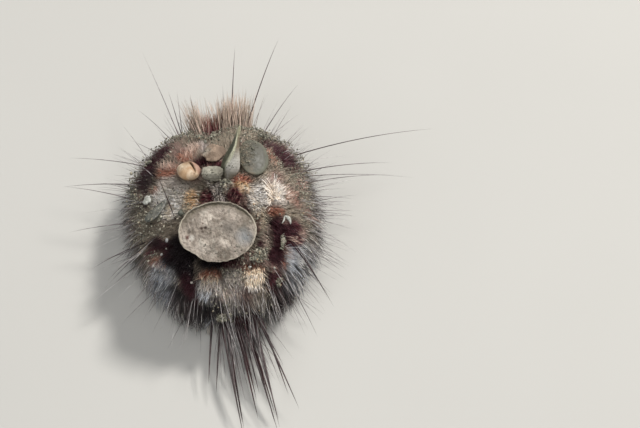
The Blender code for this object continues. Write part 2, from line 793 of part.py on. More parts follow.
def worn_pieces(bed):
    """What the animal wears, each piece lowered until it lies on the coat."""
    forms = {
        "worn_shell_large": (shell_large, 24, 8),
        "worn_disc": (flat_piece(0.0040, 0.0056, 0.0007), 14, 6),
        "worn_snail": (snail, 12, 6),
        "worn_stone": (lump(0.0029, 0.0021, 0.0019, 0.22), 12, 6),
        "worn_chip": (flat_piece(0.0027, 0.0025, 0.0004, 5, 0.10), 14, 4),
        "worn_sliver": (flat_piece(0.0015, 0.0041, 0.0002), 12, 4),
        "worn_shell_upright": (shell_upright, 14, 6),
    }
    laid = []
    for name, (form, turns, bands) in forms.items():
        piece = closed_surface(name, form, turns, bands)
        x, y, yaw, tilt_front, tilt_right = WORN[name]
        piece.rotation_mode = "YXZ"
        turns_of = (-math.radians(tilt_front), math.radians(tilt_right), -math.radians(yaw))
        piece.rotation_euler = Euler(turns_of, "YXZ")
        piece.location = (x, y, DROP_FROM)
        bpy.context.view_layer.update()
        clear = min(drop(piece, bed), drop(piece, tree_of(laid)) if laid else 1.0)
        piece.location.z -= clear - 1.4 * GAP
        bpy.context.view_layer.update()
        laid.append(piece)
    return laid


def drop(piece, tree):
    """How far a piece can be lowered before it meets what is under it."""
    down = Vector((0, 0, -1))
    least = 1.0
    bm = mesh_of(piece)
    probes = [v.co.copy() for v in bm.verts] + [f.calc_center_median() for f in bm.faces]
    bm.free()
    for probe in probes:
        hit, _, _, distance = tree.ray_cast(probe, down)
        if hit is not None:
            least = min(least, distance)
    return least


def dress(objects):
    """A material of its own for each piece, all in one collection and under one empty."""
    urchin = helper_collection("heart_urchin")
    middle = bpy.data.objects.new("heart_urchin", None)
    urchin.objects.link(middle)
    for obj in objects:
        colour, roughness = LOOKS[obj.name]
        material = bpy.data.materials.new(obj.name)
        material.use_nodes = True
        surface = material.node_tree.nodes["Principled BSDF"]
        surface.inputs["Base Color"].default_value = (*colour, 1.0)
        surface.inputs["Roughness"].default_value = roughness
        surface.inputs["Metallic"].default_value = 0.0
        obj.data.materials.clear()
        obj.data.materials.append(material)
        bpy.context.scene.collection.objects.unlink(obj)
        urchin.objects.link(obj)
        obj.parent = middle


def main():
    for obj in list(bpy.data.objects):
        bpy.data.objects.remove(obj)
    draw = random.Random(SEED)
    areas = part_test(core_point)
    bed = closed_surface("bed", rest_point)
    bed_tree = tree_of([bed])
    bpy.data.objects.remove(bed)
    worn = worn_pieces(bed_tree)
    thicket = Thicket(areas, worn)
    grow_feet(thicket, tree_of(list(areas.values())))
    grow_long_spines(thicket, core_point)
    grow_more_long(thicket, core_point, draw)
    grow_coat(thicket, core_point, draw)
    thicket.fuse(areas)
    dress(list(areas.values()) + worn)


main()
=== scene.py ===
"""The looks of a fine-spined heart urchin that crawls on the seabed with bits of shell on its back.

One skin and a coat of fine spines take the place of the body's nodes, and finer pieces take the
place of the shells that it wears. Metres, +Z up, the animal faces +Y and its right side is +X.
"""

import json
import math

import bpy
import numpy as np
from mathutils import Euler, Matrix, Vector
from mathutils.bvhtree import BVHTree
from mathutils.kdtree import KDTree

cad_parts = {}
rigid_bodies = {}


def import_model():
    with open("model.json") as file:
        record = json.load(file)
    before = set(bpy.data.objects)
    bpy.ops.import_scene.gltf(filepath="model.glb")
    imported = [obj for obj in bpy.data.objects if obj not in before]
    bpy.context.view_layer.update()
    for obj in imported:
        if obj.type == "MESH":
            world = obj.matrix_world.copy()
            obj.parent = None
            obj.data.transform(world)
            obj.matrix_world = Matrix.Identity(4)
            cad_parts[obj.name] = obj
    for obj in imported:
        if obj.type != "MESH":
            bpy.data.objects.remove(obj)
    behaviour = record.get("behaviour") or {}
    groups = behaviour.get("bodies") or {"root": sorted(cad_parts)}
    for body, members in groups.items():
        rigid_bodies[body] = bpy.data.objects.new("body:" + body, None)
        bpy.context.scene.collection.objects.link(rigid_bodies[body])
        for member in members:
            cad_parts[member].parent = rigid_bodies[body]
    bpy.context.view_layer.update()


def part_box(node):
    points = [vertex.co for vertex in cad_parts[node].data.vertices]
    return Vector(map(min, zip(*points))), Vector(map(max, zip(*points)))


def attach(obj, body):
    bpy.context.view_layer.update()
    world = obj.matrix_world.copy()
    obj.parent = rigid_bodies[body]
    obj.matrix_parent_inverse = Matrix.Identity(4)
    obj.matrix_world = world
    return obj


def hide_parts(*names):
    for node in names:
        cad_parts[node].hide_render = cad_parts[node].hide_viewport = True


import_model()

# The test, with the same sizes as its solids
TEST_LENGTH = 0.050
TEST_WIDTH = 0.043
CROWN = 0.0135
BELLY = 0.0065
FOOT = 0.0032
WAIST = FOOT + BELLY
OUTLINE_POWER = 2.25
CROWN_FULLNESS = 0.82
BELLY_FULLNESS = 0.62
APEX_FORWARD = 0.0062
FRONT_NOTCH = 0.0028
NOTCH_SPAN = math.radians(17)
GROOVE_DEPTH = 0.0010
GROOVE_WIDTH = 0.0030
REAR_CUT = 0.0019
REAR_TAPER = 0.16
KEEL_HEIGHT = 0.0011
KEEL_WIDTH = 0.0060
MOUTH_Y = 0.0125
MOUTH_WIDTH = 0.0080
MOUTH_LENGTH = 0.0046
MOUTH_SINK = 0.0016
LIP_HEIGHT = 0.0009
PLASTRON_FRONT = MOUTH_Y - MOUTH_LENGTH / 2 - 0.0012
PLASTRON_HALF_WIDTH = 0.0062
PLASTRON_BULGE = 0.0008
PETAL_TURNS = [math.radians(t) for t in (0, 68, 146, -146, -68)]
PETAL_REACH = 0.0175
PETAL_HALF_WIDTH = 0.0024
COAT_TOP = 0.0038
COAT_RIM = 0.0074
NEAR_POLE = math.radians(89.5)
GOLDEN = math.pi * (3 - math.sqrt(5))

# The size of the photo in pixels, and the view that matches it
PHOTO_WIDTH = 640
PHOTO_HEIGHT = 428
VIEW_TURN = math.radians(-8)
VIEW_RISE = math.radians(64)
VIEW_DISTANCE = 0.42
VIEW_WIDTH = 0.1792
AIM_RIGHT = 0.0260
AIM_FORWARD = 0.0085
VIEW_RIGHT = np.array([math.cos(VIEW_TURN), math.sin(VIEW_TURN), 0])
VIEW_FORWARD = np.array([-math.sin(VIEW_TURN), math.cos(VIEW_TURN), 0])
VIEW_BACK = -VIEW_FORWARD * math.cos(VIEW_RISE) + np.array([0, 0, math.sin(VIEW_RISE)])
VIEW_UP = np.cross(VIEW_BACK, VIEW_RIGHT)
VIEW_TARGET = VIEW_RIGHT * AIM_RIGHT + VIEW_FORWARD * AIM_FORWARD

BODY = "root"
FLESH = [
    "apical_disc", "petal_front", "petal_front_right", "petal_front_left", "petal_rear_right",
    "petal_rear_left", "shoulder_right", "shoulder_left", "flank_right", "flank_left", "rump",
    "periproct", "tail_pad", "plastron", "mouth", "underside_right", "underside_left",
]

draw = np.random.default_rng(11)


def srgb(red, green, blue):
    """A colour as the eye reads it, 0 to 255, in the shader's linear numbers."""
    share = np.array([red, green, blue], float) / 255
    return np.where(share <= 0.04045, share / 12.92, ((share + 0.055) / 1.055) ** 2.4)


MAROON = srgb(56, 22, 29)
WINE = srgb(92, 40, 48)
PLUM = srgb(78, 36, 42)
RUSSET = srgb(158, 104, 82)
ORANGE = srgb(232, 192, 142)
CREAM = srgb(240, 222, 196)
WHITE = srgb(255, 250, 242)
PINK = srgb(208, 184, 168)
ROSE = srgb(164, 136, 124)
TAUPE = srgb(150, 138, 121)
LILAC = srgb(190, 182, 180)
MIST = srgb(206, 203, 198)
PEARL = srgb(216, 206, 196)
BLUE = srgb(166, 172, 180)
SMOKE = srgb(70, 58, 58)
# Near black, for painted shadow under the large shell and below the rim, for painted shade in a gap
# between tufts, and for two dark spots at the left
DARKEST_AND_SHADOW = srgb(30, 20, 22)


def mix(a, b, share):
    """The value a share of the way from a to b."""
    return a + (b - a) * share


def smooth(low, high, value):
    """0 below low, 1 above high, and a smooth rise between."""
    share = np.clip((value - low) / (high - low), 0, 1)
    return share * share * (3 - 2 * share)


def brightness(colours):
    """How bright colours look, from 0 to 1."""
    return colours @ [0.3, 0.6, 0.1]


def bell(distance, width):
    """1 where the distance is 0, about a third at the width, and near 0 beyond twice that."""
    return np.exp(-((distance / width) ** 2))


def power(value, exponent):
    """A power that keeps the sign."""
    return np.copysign(np.abs(value) ** exponent, value)


def unit(vectors):
    """The vectors, each made 1 long."""
    return vectors / np.maximum(np.linalg.norm(vectors, axis=-1, keepdims=True), 1e-12)


def ripple(points, size, seed):
    """A smooth random value from -1 to 1 over 2-D or 3-D points, with bumps of about that size."""
    spin = np.random.default_rng(seed)
    total = np.zeros(points.shape[:-1])
    for _ in range(9):
        way = spin.normal(size=points.shape[-1])
        way *= spin.uniform(0.6, 1.5) / np.linalg.norm(way)
        total += np.sin(points @ way * (math.tau / size) + spin.uniform(0, math.tau))
    return np.clip(total / 4.2, -1, 1)


def outline(turn):
    """How far out the test's rim is at a bearing, with a notch in front."""
    across = np.abs(np.sin(turn)) / (TEST_WIDTH / 2)
    along = np.abs(np.cos(turn)) / (TEST_LENGTH / 2)
    reach = (across**OUTLINE_POWER + along**OUTLINE_POWER) ** (-1 / OUTLINE_POWER)
    turn = (turn + math.pi) % math.tau - math.pi
    return reach - FRONT_NOTCH * bell(turn, NOTCH_SPAN)


def test_point(turn, lift):
    """Points of the test: turn runs clockwise from the front, lift from the belly to the apex."""
    upper = lift > 0
    level = np.maximum(np.cos(lift), 1e-9) ** np.where(upper, CROWN_FULLNESS, BELLY_FULLNESS)
    x = outline(turn) * level * np.sin(turn)
    y = outline(turn) * level * np.cos(turn)
    y = y + np.where(upper, APEX_FORWARD * np.sin(lift) ** 2, 0)
    half = TEST_LENGTH / 2
    x = x * (1 - REAR_TAPER * (np.maximum(0, -y) / half) ** 1.6)
    flat_from = -half + 2.2 * REAR_CUT
    y = np.where(y < flat_from, flat_from - REAR_CUT * np.tanh((flat_from - y) / REAR_CUT), y)
    behind = np.minimum(1, np.maximum(0, -y) / 0.006)
    forward = np.minimum(1, np.maximum(0, y - APEX_FORWARD) / 0.008)
    high = WAIST + CROWN * np.sin(lift) + KEEL_HEIGHT * bell(x, KEEL_WIDTH) * behind * np.sin(lift)
    high = high - GROOVE_DEPTH * bell(x, GROOVE_WIDTH) * forward
    low = WAIST + BELLY * power(np.sin(lift), 0.9)
    low = low + MOUTH_SINK * bell(np.hypot(x / MOUTH_WIDTH, (y - MOUTH_Y) / MOUTH_LENGTH), 0.62)
    low = low - LIP_HEIGHT * bell(x, 0.0034) * bell(y - PLASTRON_FRONT, 0.0013)
    low = low - PLASTRON_BULGE * bell(x, PLASTRON_HALF_WIDTH) * bell(y + 0.006, 0.011)
    return np.stack([x, y, np.where(upper, high, low)], -1)


def test_normal(turn, lift):
    """Which way is out of the test."""
    lift = np.clip(lift, -NEAR_POLE, NEAR_POLE)
    step = 0.01
    over = test_point(turn + step, lift) - test_point(turn - step, lift)
    above = test_point(turn, np.minimum(NEAR_POLE, lift + step))
    below = test_point(turn, np.maximum(-NEAR_POLE, lift - step))
    return unit(np.cross(above - below, over))


def coat_depth(lift):
    """How thick the coat is: thin on top and deep at the rim."""
    return mix(COAT_RIM, COAT_TOP, np.abs(np.sin(lift)) ** 1.5)


def chart(turn, lift):
    """The skin unrolled flat from the apex: the rim is a circle of 1, the belly lies beyond it."""
    reach = (math.pi / 2 - lift) / (math.pi / 2)
    return np.stack([reach * np.sin(turn), reach * np.cos(turn)], -1)


def unchart(u, v):
    """The turn and lift of places on the chart."""
    return np.arctan2(u, v), math.pi / 2 * (1 - np.hypot(u, v))


def coat_surface(turn, lift, share):
    """Points at a share of the coat's depth."""
    return test_point(turn, lift) + test_normal(turn, lift) * (coat_depth(lift) * share)[..., None]


def in_photo(points):
    """Where points are in the photo, in pixels to the right and down."""
    off = points - (VIEW_TARGET + VIEW_BACK * VIEW_DISTANCE)
    scale = -PHOTO_WIDTH * VIEW_DISTANCE / VIEW_WIDTH / (off @ VIEW_BACK)
    return PHOTO_WIDTH / 2 + (off @ VIEW_RIGHT) * scale, PHOTO_HEIGHT / 2 - (off @ VIEW_UP) * scale


# Places all over the upper coat, for finding the one that a pixel of the photo shows
TURNS, LIFTS = np.meshgrid(np.radians(np.arange(-180, 180, 0.5)), np.radians(np.arange(-30, 89.6, 0.5)))
FACING = test_normal(TURNS, LIFTS) @ VIEW_BACK > 0.02
# Pixels added for places that face away, so that none of them is the nearest
HIDDEN = 1000
MARK_PHOTO = in_photo(coat_surface(TURNS, LIFTS, 0.9))
TIP_PHOTO = in_photo(coat_surface(TURNS, LIFTS, 1.0))


def under_pixel(right, down, photo):
    """The turn and lift of the place of the coat that a pixel of the photo shows."""
    gap = np.hypot(photo[0] - right, photo[1] - down) + np.where(FACING, 0, HIDDEN)
    spot = np.unravel_index(np.argmin(gap), gap.shape)
    return TURNS[spot], LIFTS[spot]


def oval(right, down, half_wide, half_high, lean, tone, strength, soft):
    """A patch of the markings from an oval on the photo: its middle to the right and down and its half
    sizes, in pixels, and its lean in degrees. Places are kept to about 0.3 mm."""
    lean = math.radians(lean)
    across = half_wide * math.cos(lean), -half_wide * math.sin(lean)
    upward = -half_high * math.sin(lean), -half_high * math.cos(lean)
    ends = [(0, 0), across, (-across[0], -across[1]), upward, (-upward[0], -upward[1])]
    middle, right_end, left_end, top, bottom = [
        chart(*under_pixel(right + x, down + y, MARK_PHOTO)) for x, y in ends
    ]
    along = right_end - left_end
    length, width = np.hypot(*along) / 2, np.hypot(*(top - bottom)) / 2
    heading = math.degrees(math.atan2(*along))
    heading -= 180 * (heading > 90) - 180 * (heading < -90)
    return (*middle.round(2), length.round(3), width.round(3), round(heading), tone, strength, soft)


TUFT_REACH = 0.95
TUFT_HALF_LENGTH = 0.30
TUFT_SOFT = 0.45


def tuft(right, down, half_angle, tone, strength):
    """A patch of the markings from a pixel at the outer end of a tuft of the fringe, which opens
    outwards by half_angle degrees to each side."""
    turn = under_pixel(right, down, TIP_PHOTO)[0]
    width = round(TUFT_REACH * math.tan(math.radians(half_angle)), 3)
    middle = round(TUFT_REACH * math.sin(turn), 2), round(TUFT_REACH * math.cos(turn), 2)
    heading = round(math.degrees(turn))
    return (*middle, TUFT_HALF_LENGTH, width, heading, tone, strength, TUFT_SOFT)


# The markings of skin and coat, later ones over earlier ones. Each is a patch on the chart: its
# middle (to the right, to the front), its half length and half width, which way its length runs, in
# degrees, its colour, how strong it is and how soft its edge is. The first is written so. The others
# are ovals and tufts that were chosen on the photo, in its pixels.
PATCHES = [
    # the skirt between the tufts at the rear, painted dark as shade in the gaps between them, and the
    # sanded margins
    (0.0, -0.86, 0.36, 0.86, 0, SMOKE, 0.9, 0.4),
    oval(222, 132, 40, 14, 0, TAUPE, 0.8, 0.6),
    oval(296, 205, 16, 26, 0, TAUPE, 0.8, 0.6),
    oval(145, 222, 14, 26, 0, TAUPE, 0.8, 0.6),
    oval(133, 185, 8, 26, 0, SMOKE, 0.5, 0.6),
    # pale fields
    oval(189, 145, 9, 7, 0, PINK, 0.9, 0.5),
    oval(203, 143, 7, 6, 0, LILAC, 0.7, 0.6),
    oval(166, 182, 12, 9, -15, PEARL, 0.95, 0.45),
    oval(176, 194, 14, 14, 0, PEARL, 1.0, 0.55),
    oval(174, 197, 13, 13, 0, WHITE, 0.45, 0.6),
    oval(167, 207, 13, 11, 0, WHITE, 1.0, 0.4),
    oval(222, 182, 14, 9, 0, PEARL, 1.0, 0.45),
    oval(157, 196, 12, 10, 0, WHITE, 0.95, 0.45),
    oval(167, 210, 4, 9, 20, CREAM, 0.8, 0.5),
    oval(218, 195, 8, 8, 0, PEARL, 1.0, 0.5),
    oval(229, 187, 8, 5, 0, CREAM, 0.9, 0.5),
    oval(274, 190, 21, 13, 0, PEARL, 0.95, 0.4),
    oval(300, 194, 7, 10, 0, ROSE, 0.9, 0.5),
    oval(291, 188, 9, 9, 0, PINK, 0.7, 0.5),
    oval(260, 207, 6, 11, -10, CREAM, 1.0, 0.5),
    oval(241, 187, 6, 5, 0, CREAM, 0.6, 0.5),
    oval(263, 218, 5, 12, -10, CREAM, 0.9, 0.5),
    oval(267, 236, 5, 14, -15, PINK, 0.8, 0.5),
    oval(302, 243, 8, 6, 0, PLUM, 0.7, 0.6),
    oval(305, 261, 13, 17, 0, BLUE, 0.8, 0.5),
    oval(295, 256, 7, 10, -10, PINK, 0.85, 0.5),
    oval(302, 275, 9, 8, 0, MIST, 0.7, 0.6),
    oval(234, 284, 13, 19, 0, PEARL, 0.85, 0.5),
    oval(231, 301, 11, 13, 0, PEARL, 0.8, 0.6),
    oval(230, 300, 14, 11, 0, PINK, 0.8, 0.6),
    oval(210, 289, 13, 13, 0, PEARL, 1.0, 0.45),
    oval(200, 293, 8, 12, 0, MIST, 0.8, 0.5),
    oval(152, 279, 15, 16, 35, BLUE, 0.9, 0.45),
    oval(158, 277, 5, 8, 30, PINK, 0.6, 0.5),
    oval(258, 280, 13, 12, 0, CREAM, 1.0, 0.35),
    # the tufts of the fringe, which open outwards
    tuft(152, 286, 9, BLUE, 0.65),
    tuft(203, 302, 8, MIST, 0.7),
    tuft(234, 312, 6, PEARL, 0.7),
    tuft(251, 312, 7, ROSE, 0.5),
    tuft(268, 312, 6, TAUPE, 0.8),
    tuft(311, 268, 14, BLUE, 0.6),
    tuft(258, 296, 3, CREAM, 0.25),
    # russet and orange rims
    oval(182, 151, 11, 8, -20, ROSE, 1.0, 0.5),
    oval(184, 154, 8, 6, -20, RUSSET, 1.0, 0.5),
    oval(171, 147, 6, 6, 0, ROSE, 0.8, 0.5),
    oval(192, 145, 8, 5, 0, PINK, 0.8, 0.6),
    oval(164, 168, 13, 7, 10, RUSSET, 0.95, 0.45),
    oval(166, 163, 10, 3.5, 10, PINK, 0.8, 0.6),
    oval(152, 188, 5, 5, 0, RUSSET, 0.7, 0.6),
    oval(242, 177, 12, 5, 0, RUSSET, 1.0, 0.45),
    oval(243, 186, 9, 6, 0, ORANGE, 1.0, 0.4),
    oval(190, 197, 7, 10, 10, ORANGE, 0.85, 0.5),
    oval(186, 206, 5, 5, 0, CREAM, 0.8, 0.5),
    oval(278, 208, 11, 6, 0, RUSSET, 0.95, 0.45),
    oval(273, 153, 5, 10, 0, RUSSET, 0.6, 0.6),
    oval(300, 194, 5, 8, 0, RUSSET, 0.5, 0.6),
    oval(256, 268, 12, 4.5, 0, RUSSET, 1.0, 0.4),
    oval(208, 276, 13, 5.5, 0, RUSSET, 1.0, 0.45),
    oval(147, 262, 10, 4, 35, RUSSET, 0.8, 0.5),
    oval(289, 260, 3, 13, 10, RUSSET, 0.9, 0.5),
    # dark fields
    oval(149, 152, 18, 10, 15, MAROON, 1.0, 0.3),
    oval(141, 166, 10, 15, 0, MAROON, 1.0, 0.35),
    oval(141, 186, 5, 6, 0, MAROON, 1.0, 0.4),
    oval(200, 160, 9, 6, 0, MAROON, 1.0, 0.35),
    oval(216, 163, 9, 5, 0, PLUM, 1.0, 0.4),
    oval(209, 129, 9, 9, 0, WINE, 1.0, 0.35),
    oval(215, 127, 7, 7, 0, WINE, 0.9, 0.4),
    oval(290, 150, 16, 10, -25, MAROON, 1.0, 0.3),
    oval(268, 139, 6, 6, -30, MAROON, 0.9, 0.4),
    oval(205, 196, 6.5, 11, -25, WINE, 1.0, 0.3),
    oval(235, 194, 10, 7.5, -30, WINE, 1.0, 0.3),
    oval(246, 209, 7, 4, -30, PLUM, 0.9, 0.4),
    oval(259, 224, 3, 12, -12, WINE, 0.75, 0.4),
    oval(261, 244, 4, 8, 0, MAROON, 1.0, 0.4),
    oval(283, 221, 13, 9, 0, MAROON, 1.0, 0.3),
    oval(301, 225, 9, 9, 0, PLUM, 1.0, 0.5),
    oval(290, 233, 20, 14, -15, MAROON, 1.0, 0.3),
    oval(304, 238, 10, 6, 0, PLUM, 1.0, 0.5),
    oval(281, 254, 11, 15, 0, MAROON, 1.0, 0.3),
    oval(278, 274, 8, 13, -10, MAROON, 1.0, 0.35),
    oval(283, 288, 8, 15, -12, PLUM, 1.0, 0.45),
    # Painted shadow: near black under the large shell
    oval(210, 264, 17, 7, 0, DARKEST_AND_SHADOW, 1.0, 0.35),
    oval(232, 263, 14, 5, 0, PLUM, 0.9, 0.45),
    # More painted shadow under the large shell
    oval(176, 250, 20, 22, 0, DARKEST_AND_SHADOW, 1.0, 0.3),
    oval(169, 260, 13, 12, -25, DARKEST_AND_SHADOW, 1.0, 0.3),
    oval(182, 270, 14, 17, 0, DARKEST_AND_SHADOW, 1.0, 0.3),
    oval(183, 288, 9, 18, 12, MAROON, 1.0, 0.35),
    oval(186, 306, 8, 12, 5, PLUM, 1.0, 0.4),
    oval(151, 243, 14, 9, 0, MAROON, 1.0, 0.3),
    oval(161, 256, 8, 5, -40, MAROON, 0.9, 0.5),
    oval(142, 253, 9, 5, 30, PLUM, 0.9, 0.45),
    # Painted shadow below the rim at the rear and on the left
    oval(213, 328, 14, 12, 0, DARKEST_AND_SHADOW, 1.0, 0.4),
    oval(197, 322, 10, 12, 0, DARKEST_AND_SHADOW, 0.9, 0.5),
    oval(168, 298, 13, 10, -30, DARKEST_AND_SHADOW, 0.95, 0.5),
    oval(143, 178, 9, 12, 0, DARKEST_AND_SHADOW, 0.7, 0.5),
    # More painted shadow under the large shell
    oval(161, 262, 7, 6, 0, DARKEST_AND_SHADOW, 0.85, 0.5),
    oval(150, 242, 8, 6, 0, DARKEST_AND_SHADOW, 0.6, 0.5),
    oval(140, 200, 7, 9, 0, SMOKE, 0.6, 0.6),
    oval(278, 268, 5, 5, 0, ROSE, 0.5, 0.6),
    oval(287, 218, 5, 4, 0, ROSE, 0.5, 0.6),
    oval(191, 308, 7, 10, 0, MAROON, 1.0, 0.45),
    # Painted shade in a gap between the rear tufts
    tuft(216, 326, 5, DARKEST_AND_SHADOW, 0.4),
    # the whitest
    oval(282, 188, 9, 8, 0, WHITE, 0.5, 0.5),
    oval(271, 184, 5, 5, 0, PINK, 0.45, 0.6),
    oval(222, 184, 9, 6, 0, WHITE, 0.5, 0.5),
    oval(261, 190, 8, 10, 0, WHITE, 1.0, 0.4),
    oval(257, 198, 8, 12, 0, WHITE, 0.7, 0.5),
    oval(257, 281, 8, 7, 0, WHITE, 0.55, 0.6),
    oval(155, 196, 5, 5, 0, WHITE, 0.7, 0.6),
    oval(244, 187, 5, 4, 0, WHITE, 0.6, 0.6),
]


def marks(flat):
    """The colour of the animal at places of the chart, with the painted shadow and shade that some dark
    patches add.
    """
    reach = np.linalg.norm(flat, axis=-1)
    wobble = ripple(flat, 0.22, 3) * 0.10 + ripple(flat, 0.08, 4) * 0.08
    dusty = ripple(flat, 0.30, 9)[..., None]
    colour = mix(TAUPE * 0.8, mix(TAUPE, ROSE, smooth(0.0, 0.8, dusty)), smooth(-0.3, 0.6, dusty))
    colour = mix(colour, CREAM, smooth(1.4, 1.7, reach)[..., None])
    for u, v, length, width, heading, tone, strength, soft in PATCHES:
        along = np.array([math.sin(math.radians(heading)), math.cos(math.radians(heading))])
        off = flat - np.array([u, v])
        ahead = off @ along / length
        beside = (off[..., 0] * along[1] - off[..., 1] * along[0]) / width
        gap = np.hypot(ahead, beside) + wobble
        weight = strength * (1 - smooth(1 - soft, 1 + soft * 0.6, gap))
        colour = mix(colour, tone, weight[..., None])
    return colour


def points_tree(points):
    """A tree that finds the nearest of the points."""
    tree = KDTree(len(points))
    for i, point in enumerate(points):
        tree.insert(point, i)
    tree.balance()
    return tree


def spine_points(spines, share):
    """Where each spine is at a share of its length."""
    bend = spines["rise"] * (share - share * share / 2) + spines["lie"] * share * share / 2
    return spines["root"] + spines["length"][:, None] * bend


def coat_finder():
    """Tells where on the chart the coat is that lies nearest to a point."""
    turn, lift = np.meshgrid(np.radians(np.arange(-180, 180, 1.5)), np.radians(np.arange(-75, 90, 1.0)))
    depth = coat_depth(lift)[..., None] * 0.9
    tree = points_tree((test_point(turn, lift) + test_normal(turn, lift) * depth).reshape(-1, 3))
    flat = chart(turn, lift).reshape(-1, 2)

    def find(points):
        return flat[[tree.find(point)[1] for point in points]]

    return find


def marks_along(spines, share):
    """The colour of the animal where each spine is at a share of its length."""
    return marks(find_coat(spine_points(spines, share)))


def mesh_object(name, points, faces, smooth_shaded=True):
    """A mesh object from arrays of points and triangles."""
    mesh = bpy.data.meshes.new(name)
    mesh.vertices.add(len(points))
    mesh.vertices.foreach_set("co", np.asarray(points, np.float32).ravel())
    mesh.loops.add(faces.size)
    mesh.loops.foreach_set("vertex_index", np.asarray(faces, np.int32).ravel())
    mesh.polygons.add(len(faces))
    mesh.polygons.foreach_set("loop_start", np.arange(0, faces.size, 3, dtype=np.int32))
    mesh.update(calc_edges=True)
    mesh.validate()
    if smooth_shaded:
        mesh.shade_smooth()
    obj = bpy.data.objects.new(name, mesh)
    bpy.context.scene.collection.objects.link(obj)
    return obj


def paint(obj, name, values):
    """A colour for each point of a mesh, which its material reads by name."""
    layer = obj.data.color_attributes.new(name, "FLOAT_COLOR", "POINT")
    full = np.ones((len(values), 4), np.float32)
    full[:, :3] = values
    layer.data.foreach_set("color", full.ravel())


def grade(obj, name, values):
    """A number for each point of a mesh, which its material reads by name."""
    layer = obj.data.attributes.new(name, "FLOAT", "POINT")
    layer.data.foreach_set("value", np.asarray(values, np.float32))


def dress(obj, look, slot, *replaced):
    """Gives a piece its material, its place in the frame, and the nodes that it replaces; its slot is not
    used.
    """
    obj.data.materials.append(look)
    if replaced:
        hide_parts(*replaced)
    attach(obj, BODY)


def lay_out(obj, corners):
    """The map that patterns are kept on, a place for each corner of each face."""
    layer = obj.data.uv_layers.new(name="OFBake")
    layer.data.foreach_set("uv", np.asarray(corners, np.float32).ravel())


class Graph:
    """The nodes of one material, made by short calls."""

    def __init__(self, name, roughness=0.6, specular=0.4):
        self.material = bpy.data.materials.new(name)
        self.material.use_nodes = True
        self.tree = self.material.node_tree
        self.shader = self.tree.nodes["Principled BSDF"]
        self.shader.inputs["Roughness"].default_value = roughness
        self.shader.inputs["Specular IOR Level"].default_value = specular
        self.coordinates = self.node("TexCoord").outputs["Object"]

    def put(self, socket, value):
        if isinstance(value, bpy.types.NodeSocket):
            self.tree.links.new(value, socket)
        elif hasattr(value, "__len__") and len(value) == 3 and socket.type == "RGBA":
            socket.default_value = (*value, 1.0)
        else:
            socket.default_value = value

    def node(self, kind, **settings):
        made = self.tree.nodes.new("ShaderNode" + kind)
        for name, value in settings.items():
            setattr(made, name, value)
        return made

    def read(self, name, output="Color"):
        return self.node("Attribute", attribute_name=name).outputs[output]

    def noise(self, scale, detail=4.0, rough=0.55, vector=None, warp=0.0):
        made = self.node("TexNoise")
        self.put(made.inputs["Vector"], vector or self.coordinates)
        self.put(made.inputs["Scale"], scale)
        self.put(made.inputs["Detail"], detail)
        self.put(made.inputs["Roughness"], rough)
        self.put(made.inputs["Distortion"], warp)
        return made.outputs["Fac"]

    def cells(self, scale, feature="F1", output="Distance"):
        made = self.node("TexVoronoi", feature=feature)
        self.put(made.inputs["Vector"], self.coordinates)
        self.put(made.inputs["Scale"], scale)
        return made.outputs[output]

    def span(self, value, low, high, to_low=0.0, to_high=1.0):
        made = self.node("MapRange")
        for name, number in zip(
            ("Value", "From Min", "From Max", "To Min", "To Max"), (value, low, high, to_low, to_high)
        ):
            self.put(made.inputs[name], number)
        return made.outputs["Result"]

    def math(self, kind, a, b=0.0):
        made = self.node("Math", operation=kind)
        self.put(made.inputs[0], a)
        self.put(made.inputs[1], b)
        return made.outputs[0]

    def plus(self, a, b):
        return self.math("ADD", a, b)

    def times(self, a, b):
        return self.math("MULTIPLY", a, b)

    def between(self, value, dark, light):
        """Two colours, mixed by a noise value."""
        return self.blend(self.span(value, 0.35, 0.65), dark, light)

    def blend(self, factor, a, b, kind="MIX"):
        made = self.node("Mix", data_type="RGBA", blend_type=kind)
        self.put(made.inputs["Factor"], factor)
        self.put(made.inputs[6], a)
        self.put(made.inputs[7], b)
        return made.outputs[2]

    def near(self, point, size):
        """1 at a point of the piece, falling to 0 at a distance from it."""
        gap = self.node("VectorMath", operation="DISTANCE")
        self.put(gap.inputs[0], self.coordinates)
        gap.inputs[1].default_value = point
        return self.span(gap.outputs["Value"], size, size * 0.35)

    def relief(self, height, depth):
        made = self.node("Bump")
        made.inputs["Strength"].default_value = 1.0
        made.inputs["Distance"].default_value = depth
        self.put(made.inputs["Height"], height)
        self.put(self.shader.inputs["Normal"], made.outputs["Normal"])

    def finish(self, colour, roughness=None):
        self.put(self.shader.inputs["Base Color"], colour)
        if roughness is not None:
            self.put(self.shader.inputs["Roughness"], roughness)
        return self.material


def coat_material(name, roughness, specular=0.45):
    """Fine spines: the animal's markings, streaked and a little glossy."""
    g = Graph(name, specular=specular)
    marking = g.read("mark")
    streak = g.noise(900, 2.0, 0.5)
    shade = g.blend(g.span(streak, 0.3, 0.7), (0.72, 0.70, 0.70), (1.22, 1.20, 1.18))
    colour = g.blend(1.0, marking, shade, "MULTIPLY")
    g.relief(g.noise(2600, 1.0, 0.5), 0.00004)
    return g.finish(colour, g.span(streak, 0.2, 0.8, roughness - 0.1, roughness + 0.12))


def skin_material():
    """The test's skin: markings, with a close set of small knobs that the spines stand on."""
    g = Graph("skin_look", specular=0.3)
    marking = g.read("mark")
    mottle = g.noise(420, 5.0, 0.6)
    shade = g.blend(g.span(mottle, 0.3, 0.7), (0.45, 0.43, 0.43), (0.95, 0.92, 0.90))
    colour = g.blend(1.0, marking, shade, "MULTIPLY")
    knob = g.cells(1500)
    colour = g.blend(g.span(knob, 0.32, 0.12), colour, g.blend(0.5, colour, (0.5, 0.42, 0.38)))
    height = g.plus(g.span(knob, 0.45, 0.05), g.times(mottle, 0.4))
    g.relief(height, 0.00025)
    return g.finish(colour, g.span(mottle, 0.3, 0.7, 0.55, 0.8))


